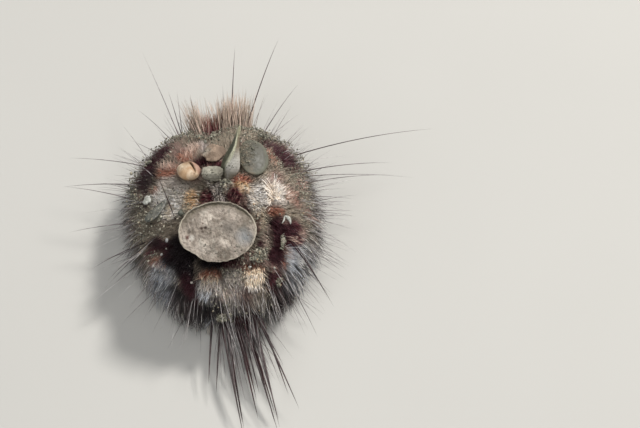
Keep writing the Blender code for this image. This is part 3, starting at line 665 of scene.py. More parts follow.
def joined_spines(name, spines, sides, rings, end=0.0, taper=1.8):
    """One mesh of many spines, each a closed, bent and tapered tube from arrays of equal length."""
    count = len(spines["root"])
    shares = np.linspace(0, 1, rings + 1)[:-1] ** 0.9
    shares[0] = 0.0
    if end:
        shares = np.append(shares, 1.0)
    length = spines["length"][:, None, None]
    rise, lie = spines["rise"][:, None, :], spines["lie"][:, None, :]
    t = shares[None, :, None]
    axis = spines["root"][:, None, :] + length * (rise * (t - t * t / 2) + lie * t * t / 2)
    axis[:, 0] -= rise[:, 0] * 0.0004
    ahead = unit(rise * (1 - t) + lie * t)
    girth = spines["radius"][:, None] * (end + (1 - end) * (1 - shares[None, :] ** taper))
    hint = np.array([0.23, 0.17, 0.96])
    side = unit(np.cross(ahead, np.broadcast_to(hint, ahead.shape)))
    other = np.cross(ahead, side)
    lowest = np.maximum(girth * 1.05, 0.00006)
    floor_at = lowest + spines.get("level", np.zeros(count))[:, None]
    axis[..., 2] = np.maximum(axis[..., 2], floor_at)
    angles = np.arange(sides) / sides * math.tau
    around = (
        side[:, :, None, :] * np.cos(angles)[None, None, :, None]
        + other[:, :, None, :] * np.sin(angles)[None, None, :, None]
    )
    tube = axis[:, :, None, :] + around * girth[:, :, None, None]
    levels = tube.shape[1]
    tip = spines["root"] + spines["length"][:, None] * (spines["rise"] + spines["lie"]) / 2
    tip[:, 2] = np.maximum(tip[:, 2], floor_at[:, -1])
    if end:
        tip = tube[:, -1].mean(1)
    base = axis[:, 0]
    points = np.concatenate([tube.reshape(count, -1, 3), tip[:, None], base[:, None]], 1)
    per = points.shape[1]
    faces, places = [], []
    for j in range(levels - 1):
        for k in range(sides):
            a, b = j * sides + k, j * sides + (k + 1) % sides
            c, d = a + sides, b + sides
            low, high = shares[j], shares[j + 1]
            left, right = k / sides, (k + 1) / sides
            faces += [(a, b, d), (a, d, c)]
            places += [((left, low), (right, low), (right, high))]
            places += [((left, low), (right, high), (left, high))]
    last = (levels - 1) * sides
    for k in range(sides):
        left, right = k / sides, (k + 1) / sides
        faces.append((last + k, last + (k + 1) % sides, per - 2))
        places.append(((left, shares[-1]), (right, shares[-1]), ((left + right) / 2, 1.02)))
        faces.append(((k + 1) % sides, k, per - 1))
        places.append(((right, 0.0), (left, 0.0), ((left + right) / 2, -0.02)))
    faces, places = np.array(faces), np.array(places)
    all_faces = (faces[None] + (np.arange(count) * per)[:, None, None]).reshape(-1, 3)
    obj = mesh_object(name, points.reshape(-1, 3), all_faces)
    along = np.concatenate([np.repeat(shares, sides), [1.0, 0.0]])
    colours = spines["shade"](along)
    paint(obj, "mark", colours.reshape(-1, 3))
    grade(obj, "along", np.tile(along, count))
    patch = (places - 0.5) * 0.003
    lay_out(obj, (spines["place"][:, None, None, :] + patch[None]).reshape(-1, 2))
    return obj


def part_of(spines, keep):
    """Some of the spines of a set."""
    chosen = {k: v[keep] for k, v in spines.items() if k != "shade"}
    chosen["shade"] = shading(chosen)
    return chosen


def shading(spines):
    """How a set of spines is coloured along its length, from its root, middle and tip colours."""

    def shade(along):
        t = along[None, :, None]
        low = mix(spines["foot_colour"][:, None], spines["colour"][:, None], smooth(0.0, 0.35, t))
        colour = mix(low, spines["tip_colour"][:, None], smooth(0.35, 0.95, t))
        if "bands" in spines:
            wave = 0.5 + 0.5 * np.sin(t * spines["bands"][:, None, None] * math.tau)
            colour = colour * (1 - spines["band_depth"][:, None, None] * smooth(0.35, 0.75, wave))
        return colour

    return shade


def even_roots(count, top, bottom):
    """Turns and lifts of roots spread evenly over a belt of the test, a golden angle apart."""
    lifts = np.linspace(top, bottom, 400)
    turns = np.linspace(0, math.tau, 181)[:-1]
    t, l = np.meshgrid(turns, lifts)
    here = test_point(t, l)
    step = 0.002
    wide = np.linalg.norm(test_point(t + step, l) - here, axis=-1)
    tall = np.linalg.norm(test_point(t, l - step) - here, axis=-1)
    area = np.cumsum((wide * tall).sum(1))
    area = (area - area[0]) / (area[-1] - area[0])
    share = (np.arange(count) + 0.5) / count
    lift = np.interp(share, area, lifts)
    turn = np.arange(count) * GOLDEN
    jitter = draw.normal(size=(count, 2)) * 0.00010
    lift = lift + jitter[:, 0] / 0.022
    turn = turn + jitter[:, 1] / (0.022 * np.maximum(np.cos(lift), 0.08))
    turn = (turn + math.pi) % math.tau - math.pi
    return turn, np.clip(lift, -NEAR_POLE, NEAR_POLE)


# Places on the chart that spines point away from, each with how far this reaches and how strong it is
STARS = [
    (0.33, -0.07, 0.20, 1.3),
    (0.16, -0.50, 0.16, 0.7),
    (-0.10, -0.56, 0.16, 0.7),
    (-0.36, -0.02, 0.14, 0.8),
]


def coat_lie(turn, lift):
    """Along the skin, which way the coat lies: away from the apex and swept back."""
    point, outward = test_point(turn, lift), test_normal(turn, lift)
    away = point * [1, 1, 0]
    away[..., 1] -= APEX_FORWARD * np.maximum(0, np.sin(lift))
    away = unit(away)
    flow = away + np.array([0, -0.35, 0])
    flat = chart(turn, lift)
    for u, v, reach, pull in STARS:
        off = flat - np.array([u, v])
        near = bell(np.linalg.norm(off, axis=-1), reach) * pull
        star = np.concatenate([unit(off), np.zeros(off.shape[:-1] + (1,))], -1)
        flow = flow + star * near[..., None]
    curl = ripple(flat, 0.35, 21) * 0.35
    flow[..., 0], flow[..., 1] = (
        flow[..., 0] * np.cos(curl) - flow[..., 1] * np.sin(curl),
        flow[..., 0] * np.sin(curl) + flow[..., 1] * np.cos(curl),
    )
    flow[..., 2] = -0.12 - 0.3 * np.cos(lift)
    flow = flow - outward * (flow * outward).sum(-1, keepdims=True)
    return point, outward, unit(flow)


def place_on_map(turn, lift, upper=True):
    """Where a spine's patch lies on the map of the coat."""
    flat = chart(turn, lift if upper else -lift)
    return 0.5 + flat * (0.485 / 1.55)


def worn_tree():
    """The worn pieces' surfaces, for finding where a spine would run into one."""
    points, faces = [], []
    for obj in bpy.context.scene.objects:
        if obj.name in WORN:
            first = len(points)
            points += [v.co.copy() for v in obj.data.vertices]
            faces += [[first + i for i in face.vertices] for face in obj.data.polygons]
    return BVHTree.FromPolygons(points, faces)


def shorten(spines):
    """Makes each spine that would run into a worn piece end just under it."""
    chord = (spines["rise"] + spines["lie"]) / 2
    for i, (root, way, length) in enumerate(zip(spines["root"], chord, spines["length"])):
        span = length * np.linalg.norm(way)
        gap = WORN_TREE.ray_cast(Vector(root), Vector(way), span)[3]
        if gap is not None:
            spines["length"][i] = max(0.0006, length * 0.96 * gap / span)
    return spines


def corner(turn):
    """How near a bearing is to one of the two front corners of the body."""
    return bell(np.abs(np.degrees(turn)) - 50, 20)


def velvet(count, top, bottom):
    """The short close spines of the back."""
    turn, lift = even_roots(count, top, bottom)
    point, outward, flow = coat_lie(turn, lift)
    flat = chart(turn, lift)
    reach = np.linalg.norm(flat, axis=-1)
    wander = draw.normal(size=(count, 3)) * 0.17
    rise = unit(outward + flow * 0.25 + wander)
    lie = unit(outward * 1.25 + flow * 0.9 + wander * 1.3)
    size = draw.uniform(0.70, 1.08, count) * (1 + 0.12 * ripple(flat, 0.16, 5))
    longer = 1 + 0.25 * corner(turn) * smooth(0.4, 0.8, reach)
    length = mix(0.0042, 0.0044, smooth(0.2, 0.8, reach)) * size * longer
    return {
        "root": point, "rise": rise, "lie": lie, "length": length,
        "place": place_on_map(turn, lift), "turn": turn, "reach": reach,
    }


def colour_velvet(spines):
    """Thickness and colours of the short spines."""
    count = len(spines["root"])
    colour = marks_along(spines, 0.7)
    pale = smooth(0.03, 0.35, brightness(colour))[:, None]
    spines["radius"] = mix(0.000085, 0.000120, pale[:, 0]) * draw.uniform(0.75, 1.25, count)
    uneven = mix(0.15, 0.34, smooth(0.50, 0.75, spines["reach"]))
    bright = np.exp(draw.normal(size=count) * uneven)[:, None]
    # Painted shade: spines at the edge of their tuft are darker, as in the gaps between tufts
    bright = bright * (1 - 0.34 * spines["edge"][:, None])
    spines["colour"] = colour * bright
    # Painted sheen: the tips are lighter than the markings; painted shade: the feet are darker, deep in
    # the coat
    spines["tip_colour"] = np.minimum(mix(colour * 2.0 + 0.006, colour * 1.12 + 0.06, pale) * bright, 0.95)
    spines["foot_colour"] = mix(0.45, 0.85, pale) * colour
    return spines


def fringe(count, top, bottom, deep):
    """The long spines round the rim, and the layer of shorter ones deep among them, whose colours are
    painted darker as shade.
    """
    turn, lift = even_roots(count, top, bottom)
    point, outward, flow = coat_lie(turn, lift)
    flat = chart(turn, lift)
    reach = np.linalg.norm(flat, axis=-1)
    rim = smooth(0.62, 0.95, reach)
    wander = draw.normal(size=(count, 3)) * (0.13 if deep else 0.085)
    rise = unit(outward * mix(0.9, 0.62, rim)[:, None] + flow * 0.55 + wander)
    lie = unit(outward * mix(0.55, 0.42, rim)[:, None] + flow + wander * 1.3)
    if deep:
        size = draw.uniform(0.52, 0.78, count)
    else:
        tall = draw.uniform(size=count) < 0.3
        size = np.where(tall, draw.uniform(0.95, 1.3, count), draw.uniform(0.66, 0.95, count))
    size = size * (1 - 0.12 * smooth(0.2, -0.6, np.cos(turn)) + 0.22 * corner(turn))
    length = coat_depth(lift) * mix(0.85, 1.2, rim) * size * (1 + 0.10 * ripple(flat, 0.16, 5))
    return {
        "root": point, "rise": rise, "lie": lie, "length": length,
        "place": place_on_map(turn, lift), "turn": turn, "reach": reach,
    }


def colour_fringe(spines, deep):
    """Thickness and colours of the spines round the rim."""
    count = len(spines["root"])
    near, far = marks_along(spines, 0.35), marks_along(spines, 0.85)
    rim = smooth(0.66, 1.0, spines["reach"])[:, None]
    pale = smooth(0.03, 0.35, brightness(far))[:, None]
    spines["radius"] = (0.00009 if deep else 0.000135) * draw.uniform(0.7, 1.3, count)
    bright = np.exp(draw.normal(size=count) * (0.2 if deep else 0.42))[:, None]
    cold = mix(SMOKE * 0.7, BLUE, pale)
    tip = mix(far * 1.2, cold, mix(0.12, 0.85, rim)) * bright
    glint = draw.uniform(size=(count, 1)) < mix(0.03, 0.24, pale)
    tip = np.where(glint & (not deep), WHITE, tip)
    # Painted shade: darker towards the outer rim, much darker in the deep layer, darker at the edges of
    # each tuft, and darker still at the feet
    painted_shade = mix(1.0, 0.62, smooth(0.75, 1.05, spines["reach"]))[:, None]
    if deep:
        tip, painted_shade = tip * 0.45, painted_shade * 0.5
    else:
        tip = tip * (1 - 0.62 * spines["edge"][:, None])
        painted_shade = painted_shade * (1 - 0.50 * spines["edge"][:, None])
    spines["colour"] = mix(near, far, 0.5) * bright**0.5 * painted_shade
    spines["tip_colour"] = np.minimum(tip, 0.95)
    spines["foot_colour"] = near * painted_shade * 0.55
    return spines


def gather(spines, clumps, pull):
    """Draws the tips of neighbouring spines together a little, in loose tufts, and notes for each
    spine how near the edge of its tuft it stands."""
    tips = spines["root"] + spines["length"][:, None] * (spines["rise"] + spines["lie"]) / 2
    middle = KDTree(clumps)
    for i in range(clumps):
        middle.insert(Vector(spines["root"][i * (len(tips) // clumps)]), i)
    middle.balance()
    owner = np.array([middle.find(Vector(root))[1] for root in spines["root"]])
    members = np.maximum(np.bincount(owner, minlength=clumps), 1)

    def mean(values):
        total = np.zeros((clumps, values.shape[1]))
        np.add.at(total, owner, values)
        return (total / members[:, None])[owner]

    gap = np.linalg.norm(spines["root"] - mean(spines["root"]), axis=-1)
    spines["edge"] = smooth(0.7, 1.5, gap / np.maximum(mean(gap[:, None])[:, 0], 1e-6))
    moved = (mean(tips) - tips) * pull
    spines["lie"] = unit(spines["lie"] + 2 * moved / spines["length"][:, None])
    return spines


# Long spines that stand out of the coat: where the root is (turn, lift), heading from the front
# and pitch above the level, in degrees, length in mm, and how pale it is
LONG_FRONT = [
    (14, 38, 8, -8, 34, 0.05), (22, 34, 22, -10, 39.5, 0.05), (12, 38, -2, -14, 16, 0.1),
    (-22, 34, -8, -16, 23, 0.3), (2, 42, 19, -22, 24, 0.5),
    (-22, 30, -1, -14, 22, 0.5), (-12, 40, -3, -20, 22, 0.2), (-24, 38, -14, -8, 38, 0.6),
    (-26, 34, -30, -20, 23, 0.7), (-44, 12, -24, -14, 22, 0.7), (8, 18, 4, -6, 21, 0.4),
    (30, 22, 36, -7, 24, 0.4),
]
LONG_RIGHT = [
    (48, 18, 85, 0, 45, 0.2), (58, 30, 80, -14, 19, 1.0), (64, 26, 86, -9, 30, 0.3),
    (60, 6, 100, 4, 34, 0.6), (76, 12, 78, -8, 17, 1.0), (56, 20, 28, -24, 14, 0.8),
    (50, 8, 34, -14, 15, 0.8), (94, 2, 127, -12, 17, 0.9), (98, 10, 78, -16, 15, 1.0),
    (136, -10, 160, -13, 17, 0.3),
    (70, 16, 92, 2, 27, 0.5),
    (60, 14, 82, -10, 14, 1.0), (124, 13, 164, -20, 9, 1.0), (111, 15, 142, -20, 8, 1.0),
]
LONG_LEFT = [
    (-42, 16, -74, 0, 25, 0.5), (-58, 22, -80, -5, 24, 0.3), (-80, 2, -89, -2, 20, 0.4),
    (-110, 34, -99, -22, 20, 0.1), (-104, 20, -117, -24, 15, 0.2), (-110, 4, -117, -12, 21, 0.9),
    (-98, 0, -127, -14, 19, 0.7), (-68, 12, -70, 2, 22, 0.4),
    (-66, 46, -40, 8, 7, 0.6), (-98, 14, -112, -14, 11, 0.2),
]
# These also have how much they bow, in degrees
LONG_BACK = [
    (-124, 55, -16, 25, 16, 0.0, 30), (124, 36, 154, -8, 25, 0.0, 28), (121, 34, 156, -10, 22, 0.2, 28),
    (28, 30, 96, -8, 12, 0.1, 30), (90, 40, -172, 15, 6, 0.1, 35),
]
TAIL = [
    (-168, -22, 176, -8, 36, 0.1), (-173, -23, 180, -6, 28, 0.2), (-178, -22, 174, -8, 31, 0.0),
    (177, -23, 170, -7, 36, 0.1), (172, -22, 171, -8, 32, 0.3), (168, -21, 163, -5, 31, 0.1),
    (-170, -41, -170, -3, 24, 0.1), (-176, -41, -178, -2, 22, 0.6), (179, -42, 177, -2, 25, 0.1),
    (174, -41, 168, -3, 21, 0.5), (170, -41, 158, -3, 20, 0.2), (164, -23, 168, -6, 26, 0.05),
    (-164, -24, -170, -6, 20, 0.1), (-172, -27, 178, -7, 31, 0.0), (174, -28, 172, -7, 32, 0.0),
    (180, -29, 174, -7, 26, 0.0), (168, -26, 174, -7, 34, 0.1), (-171, -25, 177, -8, 33, 0.0),
    (175, -26, 170, -7, 31, 0.0), (178, -25, 173, -8, 24, 0.1),
]


def heading_vector(heading, pitch):
    """A direction from its bearing and its pitch, in degrees."""
    heading, pitch = np.radians(heading), np.radians(pitch)
    level = np.cos(pitch)
    return np.stack([level * np.sin(heading), level * np.cos(heading), np.sin(pitch)], -1)


# Rows of stouter bristles: the ends of the row on the chart, heading and pitch in degrees, length
# in mm, how many, and the colours of foot and tip
COMBS = [
    ((0.12, -0.57), (0.25, -0.57), 188, 38, 3.2, 40, CREAM, CREAM),
    ((0.12, -0.62), (0.25, -0.62), 186, 32, 3.2, 40, CREAM, CREAM),
    ((0.13, -0.66), (0.24, -0.66), 184, 26, 3.4, 34, CREAM, MIST),
    ((-0.20, -0.63), (-0.09, -0.63), 192, 26, 3.6, 30, PINK, MIST),
    ((-0.26, -0.66), (-0.16, -0.68), 196, 20, 4.0, 30, MIST, BLUE),
    ((0.44, -0.42), (0.52, -0.50), 130, 28, 3.6, 30, PINK, BLUE),
    ((0.46, -0.48), (0.50, -0.58), 136, 22, 4.4, 34, MIST, BLUE),
    ((0.52, -0.44), (0.60, -0.54), 128, 16, 4.6, 34, BLUE, MIST),
    ((-0.17, -0.04), (-0.19, -0.14), 116, 35, 2.6, 18, ORANGE, WHITE),
    ((-0.41, 0.26), (-0.24, 0.15), 8, 45, 3.4, 30, RUSSET, PINK),
    ((-0.21, 0.21), (-0.11, 0.17), 18, 45, 4.0, 28, RUSSET, PINK),
    ((0.50, 0.00), (0.49, -0.13), 98, 35, 2.6, 24, RUSSET, PINK),
    ((0.07, -0.02), (0.20, -0.01), -64, 25, 3.0, 26, PLUM, RUSSET),
    ((0.09, -0.07), (0.17, -0.06), -7, 30, 2.6, 22, ORANGE, CREAM),
    ((0.22, -0.05), (0.20, -0.18), -82, 40, 2.6, 24, CREAM, WHITE),
    ((0.35, -0.01), (0.37, -0.13), -48, 45, 4.0, 26, CREAM, WHITE),
    ((0.38, -0.02), (0.41, -0.12), 32, 50, 4.2, 26, CREAM, WHITE),
    ((0.35, -0.09), (0.43, -0.10), 152, 45, 3.6, 26, CREAM, WHITE),
    ((0.33, -0.05), (0.34, -0.16), -148, 45, 3.6, 24, CREAM, WHITE),
    ((0.46, -0.36), (0.60, -0.38), 127, 35, 3.2, 24, PLUM, PINK),
    ((0.12, -0.55), (0.25, -0.55), 188, 40, 3.2, 32, RUSSET, CREAM),
    ((0.12, -0.59), (0.25, -0.59), 188, 35, 3.2, 34, CREAM, WHITE),
    ((-0.22, -0.55), (-0.08, -0.56), 188, 35, 3.4, 32, RUSSET, CREAM),
    ((-0.24, -0.59), (-0.10, -0.60), -162, 30, 3.6, 30, CREAM, MIST),
    ((-0.66, -0.38), (-0.52, -0.43), -157, 30, 3.8, 26, RUSSET, MIST),
    ((-0.70, -0.44), (-0.50, -0.52), -157, 25, 4.4, 30, MIST, BLUE),
    ((-0.02, -0.13), (0.03, -0.13), 13, 45, 2.0, 18, PLUM, LILAC),
    ((-0.49, 0.05), (-0.40, 0.05), -24, 40, 2.4, 22, CREAM, WHITE),
    ((-0.05, -0.05), (-0.09, -0.15), -95, 40, 1.8, 16, MAROON, ROSE),
    ((0.03, -0.07), (0.09, -0.15), 36, 40, 1.8, 16, MAROON, ROSE),
]


def combs(rows):
    """The rows of stouter bristles at the edges of the patches, and the star of the white tuft."""
    parts = []
    for (u0, v0), (u1, v1), heading, pitch, length, count, foot, tip in rows:
        share = (np.arange(count) + draw.uniform(0, 1, count)) / count
        u = mix(u0, u1, share) + draw.normal(size=count) * 0.012
        v = mix(v0, v1, share) + draw.normal(size=count) * 0.012
        turn, lift = unchart(u, v)
        point = coat_surface(turn, lift, 0.30)
        heading = heading + draw.normal(size=count) * 13
        pitch = pitch + draw.normal(size=count) * 9
        shade = np.exp(draw.normal(size=(count, 1)) * 0.12)
        parts.append({
            "root": point,
            "rise": heading_vector(heading, pitch + 22),
            "lie": heading_vector(heading, pitch - 16),
            "length": length / 1000 * draw.uniform(0.8, 1.2, count),
            "radius": draw.uniform(0.000095, 0.000145, count),
            "colour": mix(foot, tip, 0.45) * shade,
            "tip_colour": np.minimum(tip * shade * 1.05, 0.96),
            "foot_colour": foot * shade * 0.8,
            "place": place_on_map(turn, lift),
        })
    return {key: np.concatenate([part[key] for part in parts]) for key in parts[0]}


def long_set(rows, radius):
    """A set of long spines from rows of numbers."""
    rows = np.array(rows, float)
    count = len(rows)
    turn, lift = np.radians(rows[:, 0]), np.radians(rows[:, 1])
    pale = rows[:, 5:6]
    bow = rows[:, 6] if rows.shape[1] > 6 else 15
    dark = mix(srgb(42, 20, 23), srgb(176, 172, 170), pale)
    tip = mix(srgb(64, 40, 40), srgb(206, 204, 202), pale)
    return {
        "root": test_point(turn, lift),
        "rise": heading_vector(rows[:, 2], rows[:, 3] + bow),
        "lie": heading_vector(rows[:, 2], rows[:, 3] - bow),
        "length": rows[:, 4] / 1000 + 0.0015,
        "radius": np.broadcast_to(radius, count) * mix(1.0, 0.75, pale[:, 0]),
        "colour": dark, "tip_colour": tip, "foot_colour": srgb(60, 22, 27) + dark * 0.1,
        "bands": rows[:, 4] * 0.42, "band_depth": mix(0.45, 0.2, pale[:, 0]),
        "place": place_on_map(turn, lift),
    }


def whiskers(count, seed):
    """Thin, mostly pale spines that reach past the coat, closest on the right and behind."""
    pick = np.random.default_rng(seed)
    rows = []
    while len(rows) < count:
        turn = pick.uniform(-180, 180)
        thick = 1.0 if 35 < turn < 160 else 0.55
        if pick.uniform() > thick:
            continue
        lift = pick.uniform(-20, 44)
        heading = turn * 1.10 + pick.normal() * 9
        pitch, length, pale = pick.uniform(-20, 3), pick.uniform(9.5, 16), pick.uniform(0.35, 1)
        rows.append((turn, lift, heading, pitch, length, pale))
    return rows


def tail_hairs(count, seed):
    """Thinner spines among the long ones of the tuft under the rear end."""
    pick = np.random.default_rng(seed)
    return [
        (
            180 + pick.uniform(-15, 13), pick.uniform(-46, -14), 170 + pick.normal() * 9,
            pick.uniform(-12, -1), pick.uniform(14, 27), pick.uniform(0, 0.7),
        )
        for _ in range(count)
    ]


def front_fan(count):
    """The fine pinkish spines of the front, which reach forward over the sand, with a dark streak."""
    side = draw.uniform(-11, 23, count) + draw.normal(size=count) * 2.5
    turn, lift = np.radians(side), np.radians(10 + 44 * (1 - np.sqrt(draw.uniform(size=count))))
    heading = side * 0.45 - 3 + draw.normal(size=count) * 6
    droop = draw.normal(size=count) * 6
    dark = (bell(side, 7) > draw.uniform(0, 1, count))[:, None]
    short, long = draw.uniform(0.0085, 0.0145, count), draw.uniform(0.0110, 0.0205, count)
    tone = np.exp(draw.normal(size=(count, 1)) * 0.25)
    warm = mix(TAUPE, PINK, draw.uniform(size=(count, 1)))
    return {
        "root": test_point(turn, lift), "rise": heading_vector(heading, 34 + droop),
        "lie": heading_vector(heading, -34 + droop), "length": np.where(dark[:, 0], short, long),
        "radius": draw.uniform(0.00008, 0.00012, count), "colour": np.where(dark, WINE, warm * tone * 0.8),
        "tip_colour": np.where(dark, RUSSET * 0.7, warm * tone),
        "foot_colour": np.where(dark, MAROON, ROSE * 0.7),
        "place": place_on_map(turn, lift),
    }


def belly_coat(count):
    """The spines of the underside, which reach down to the floor, flat-ended on the breastplate."""
    turn, lift = even_roots(count, math.radians(-26), math.radians(-89))
    point, outward = test_point(turn, lift), test_normal(turn, lift)
    mouth = np.hypot(point[:, 0] / (MOUTH_WIDTH * 0.62), (point[:, 1] - MOUTH_Y) / (MOUTH_LENGTH * 0.7))
    keep = mouth > 1
    turn, lift, point, outward = turn[keep], lift[keep], point[keep], outward[keep]
    count = len(turn)
    splay = point * [14, 14, 0] + [0, -0.15, 0]
    down = np.array([0, 0, -1.0])
    lie = unit(down + splay * 0.9 + draw.normal(size=(count, 3)) * 0.10)
    rise = unit(outward + splay * 0.8 + draw.normal(size=(count, 3)) * 0.08)
    drop = -(rise[:, 2] + lie[:, 2]) / 2
    room = point[:, 2] - draw.uniform(0.0, 0.0005, count)
    length = np.clip(room / np.maximum(drop, 0.25), 0.0010, 0.0085)
    colour = marks(chart(turn, lift)) * np.exp(draw.normal(size=count) * 0.15)[:, None]
    return {
        "root": point, "rise": rise, "lie": lie, "length": length,
        "radius": np.full(count, 0.00013) * draw.uniform(0.85, 1.2, count),
        "colour": colour, "tip_colour": mix(colour, WHITE, 0.35), "foot_colour": colour * 0.6,
        "place": place_on_map(turn, lift, upper=False),
    }


def closed_rings(body):
    """The points and faces of a closed surface from rings of points, with a pole at each end."""
    bands, turns = body.shape[:2]
    points = np.concatenate([body.reshape(-1, 3), body[0].mean(0)[None], body[-1].mean(0)[None]])
    index = np.arange(turns * bands).reshape(bands, turns)
    a, b = index[:-1], np.roll(index, -1, 1)[:-1]
    c, d = index[1:], np.roll(index, -1, 1)[1:]
    first, last = index[0], index[-1]
    return points, np.concatenate([
        np.stack([a, d, b], -1).reshape(-1, 3),
        np.stack([a, c, d], -1).reshape(-1, 3),
        np.stack([first, np.roll(first, -1), np.full(turns, turns * bands)], -1),
        np.stack([np.roll(last, -1), last, np.full(turns, turns * bands + 1)], -1),
    ])


def skin():
    """The whole test as one closed surface."""
    turns, bands = 300, 150
    lifts = np.radians(np.linspace(-89.4, 89.4, bands))
    t, l = np.meshgrid(np.arange(turns) / turns * math.tau, lifts)
    body = test_point(t, l)
    flat = chart(t, l)
    off = body[..., :2] - np.array([0, APEX_FORWARD])
    sunk = np.zeros(t.shape)
    for turn in PETAL_TURNS:
        ahead = off @ np.array([math.sin(turn), math.cos(turn)])
        beside = off[..., 0] * math.cos(turn) - off[..., 1] * math.sin(turn)
        inside = smooth(0, 0.002, ahead) * (1 - smooth(PETAL_REACH * 0.8, PETAL_REACH, ahead))
        sunk += inside * bell(beside, PETAL_HALF_WIDTH) * (l > 0)
    body = body - test_normal(t, l) * (0.0002 + 0.0003 * sunk + 0.00006 * ripple(flat, 0.1, 8))[..., None]
    points, faces = closed_rings(body)
    obj = mesh_object("skin", points, faces)
    colour = marks(flat)
    mouth = np.hypot(body[..., 0] / MOUTH_WIDTH, (body[..., 1] - MOUTH_Y) / MOUTH_LENGTH)
    gullet = (bell(mouth, 0.5) * (l < 0))[..., None]
    colour = mix(colour, srgb(92, 52, 44), gullet * 0.9)
    colour = mix(colour, PLUM, np.clip(sunk, 0, 1)[..., None] * 0.35)
    colour = np.concatenate([colour.reshape(-1, 3), colour[0].mean(0)[None], colour[-1].mean(0)[None]])
    paint(obj, "mark", colour)
    where = np.concatenate([flat.reshape(-1, 2), [[0, 2.0], [0, 0]]])
    reach = np.linalg.norm(where, axis=-1)
    under = where / np.maximum(reach, 1e-9)[:, None] * (2 - reach)[:, None]
    half_map = 0.245
    top = [0.25, 0.25] + where * half_map
    bottom = [0.75, 0.25] + under * half_map
    is_top = reach[faces].mean(1) < 1
    uv = np.where(is_top[:, None, None], top[faces], bottom[faces])
    lay_out(obj, uv.reshape(-1, 2))
    dress(obj, skin_material(), "rump", *FLESH)


def disc_form(obj_name, place, turns, rings):
    """A closed piece whose top and bottom are placed by turn, share of the way out, and side."""
    t, r = np.meshgrid(np.arange(turns) / turns * math.tau, (np.arange(rings) + 1) / rings)
    top = place(t, r, 1.0)
    bottom = place(t[:-1], r[:-1], -1.0)
    middle_top = place(np.zeros(1), np.zeros(1), 1.0)
    middle_bottom = place(np.zeros(1), np.zeros(1), -1.0)
    points = np.concatenate([
        top.reshape(-1, 3), bottom.reshape(-1, 3), middle_top.reshape(-1, 3), middle_bottom.reshape(-1, 3)
    ])
    upper = np.arange(turns * rings).reshape(rings, turns)
    lower = turns * rings + np.arange(turns * (rings - 1)).reshape(rings - 1, turns)
    lower = np.concatenate([lower, upper[-1:]])
    faces = []
    for grid, flip in ((upper, False), (lower, True)):
        a, b = grid[:-1], np.roll(grid, -1, 1)[:-1]
        c, d = grid[1:], np.roll(grid, -1, 1)[1:]
        made = [np.stack([a, c, d], -1).reshape(-1, 3), np.stack([a, d, b], -1).reshape(-1, 3)]
        pole = len(points) - (1 if flip else 2)
        ring = grid[0]
        made.append(np.stack([ring, np.roll(ring, -1), np.full(turns, pole)], -1))
        made = np.concatenate(made)
        made[-turns:] = made[-turns:][:, [2, 0, 1]]
        faces.append(made[:, ::-1] if not flip else made)
    obj = mesh_object(obj_name, points, np.concatenate(faces))
    across, along = share_across(t, r), np.cos(t) * r
    for name, value in (("across", across), ("along", along), ("out", r)):
        grade(obj, name, np.concatenate([value.ravel(), value[:-1].ravel(), [0, 0]]))
    grade(obj, "upper", np.concatenate([np.ones(t.size), np.zeros(t[:-1].size), [1, 0]]))
    return obj


def settle(obj, node, yaw, tilt_front, tilt_right):
    """Turns a piece as the solid that it stands for is turned, and puts it in the same place."""
    turns = (-math.radians(tilt_front), math.radians(tilt_right), -math.radians(yaw))
    obj.data.transform(Euler(turns, "YXZ").to_matrix().to_4x4())
    co = np.zeros(len(obj.data.vertices) * 3, np.float32)
    obj.data.vertices.foreach_get("co", co)
    co = co.reshape(-1, 3)
    low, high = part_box(node)
    middle = (np.array(low) + np.array(high)) / 2 - (co.min(0) + co.max(0)) / 2
    obj.data.transform(Matrix.Translation(Vector(middle)))
    return obj


SHELL_WIDTH = 0.0200
SHELL_DEPTH = 0.0162
SHELL_CHORD = 0.0083
SHELL_BOWL = 0.0032
SHELL_BREAK = math.radians(218)


def ring_way(turn):
    """Points on a circle, for ripples that run round a rim."""
    return np.stack([np.sin(turn), np.cos(turn)], -1)


def rounded(share, exponent=6):
    """How thick a plate is on the way out: 1 in the middle and 0 at its rim."""
    return np.sqrt(np.maximum(0, 1 - share**exponent))


def shell_outline(turn):
    """The rim of the large shell: an oval with one straight side where it broke off."""
    across = np.abs(np.sin(turn)) / (SHELL_WIDTH / 2)
    along = np.abs(np.cos(turn)) / (SHELL_DEPTH / 2)
    reach = (across**2.1 + along**2.1) ** (-1 / 2.1)
    toward = np.cos(turn - SHELL_BREAK)
    cut = np.where(toward > 0.3, SHELL_CHORD / np.maximum(toward, 0.3), 1.0)
    reach = -np.log(np.exp(-reach * 6000) + np.exp(-cut * 6000)) / 6000
    ring = ring_way(turn)
    return reach * (1 + 0.014 * ripple(ring, 0.7, 31) + 0.012 * ripple(ring, 0.22, 32))


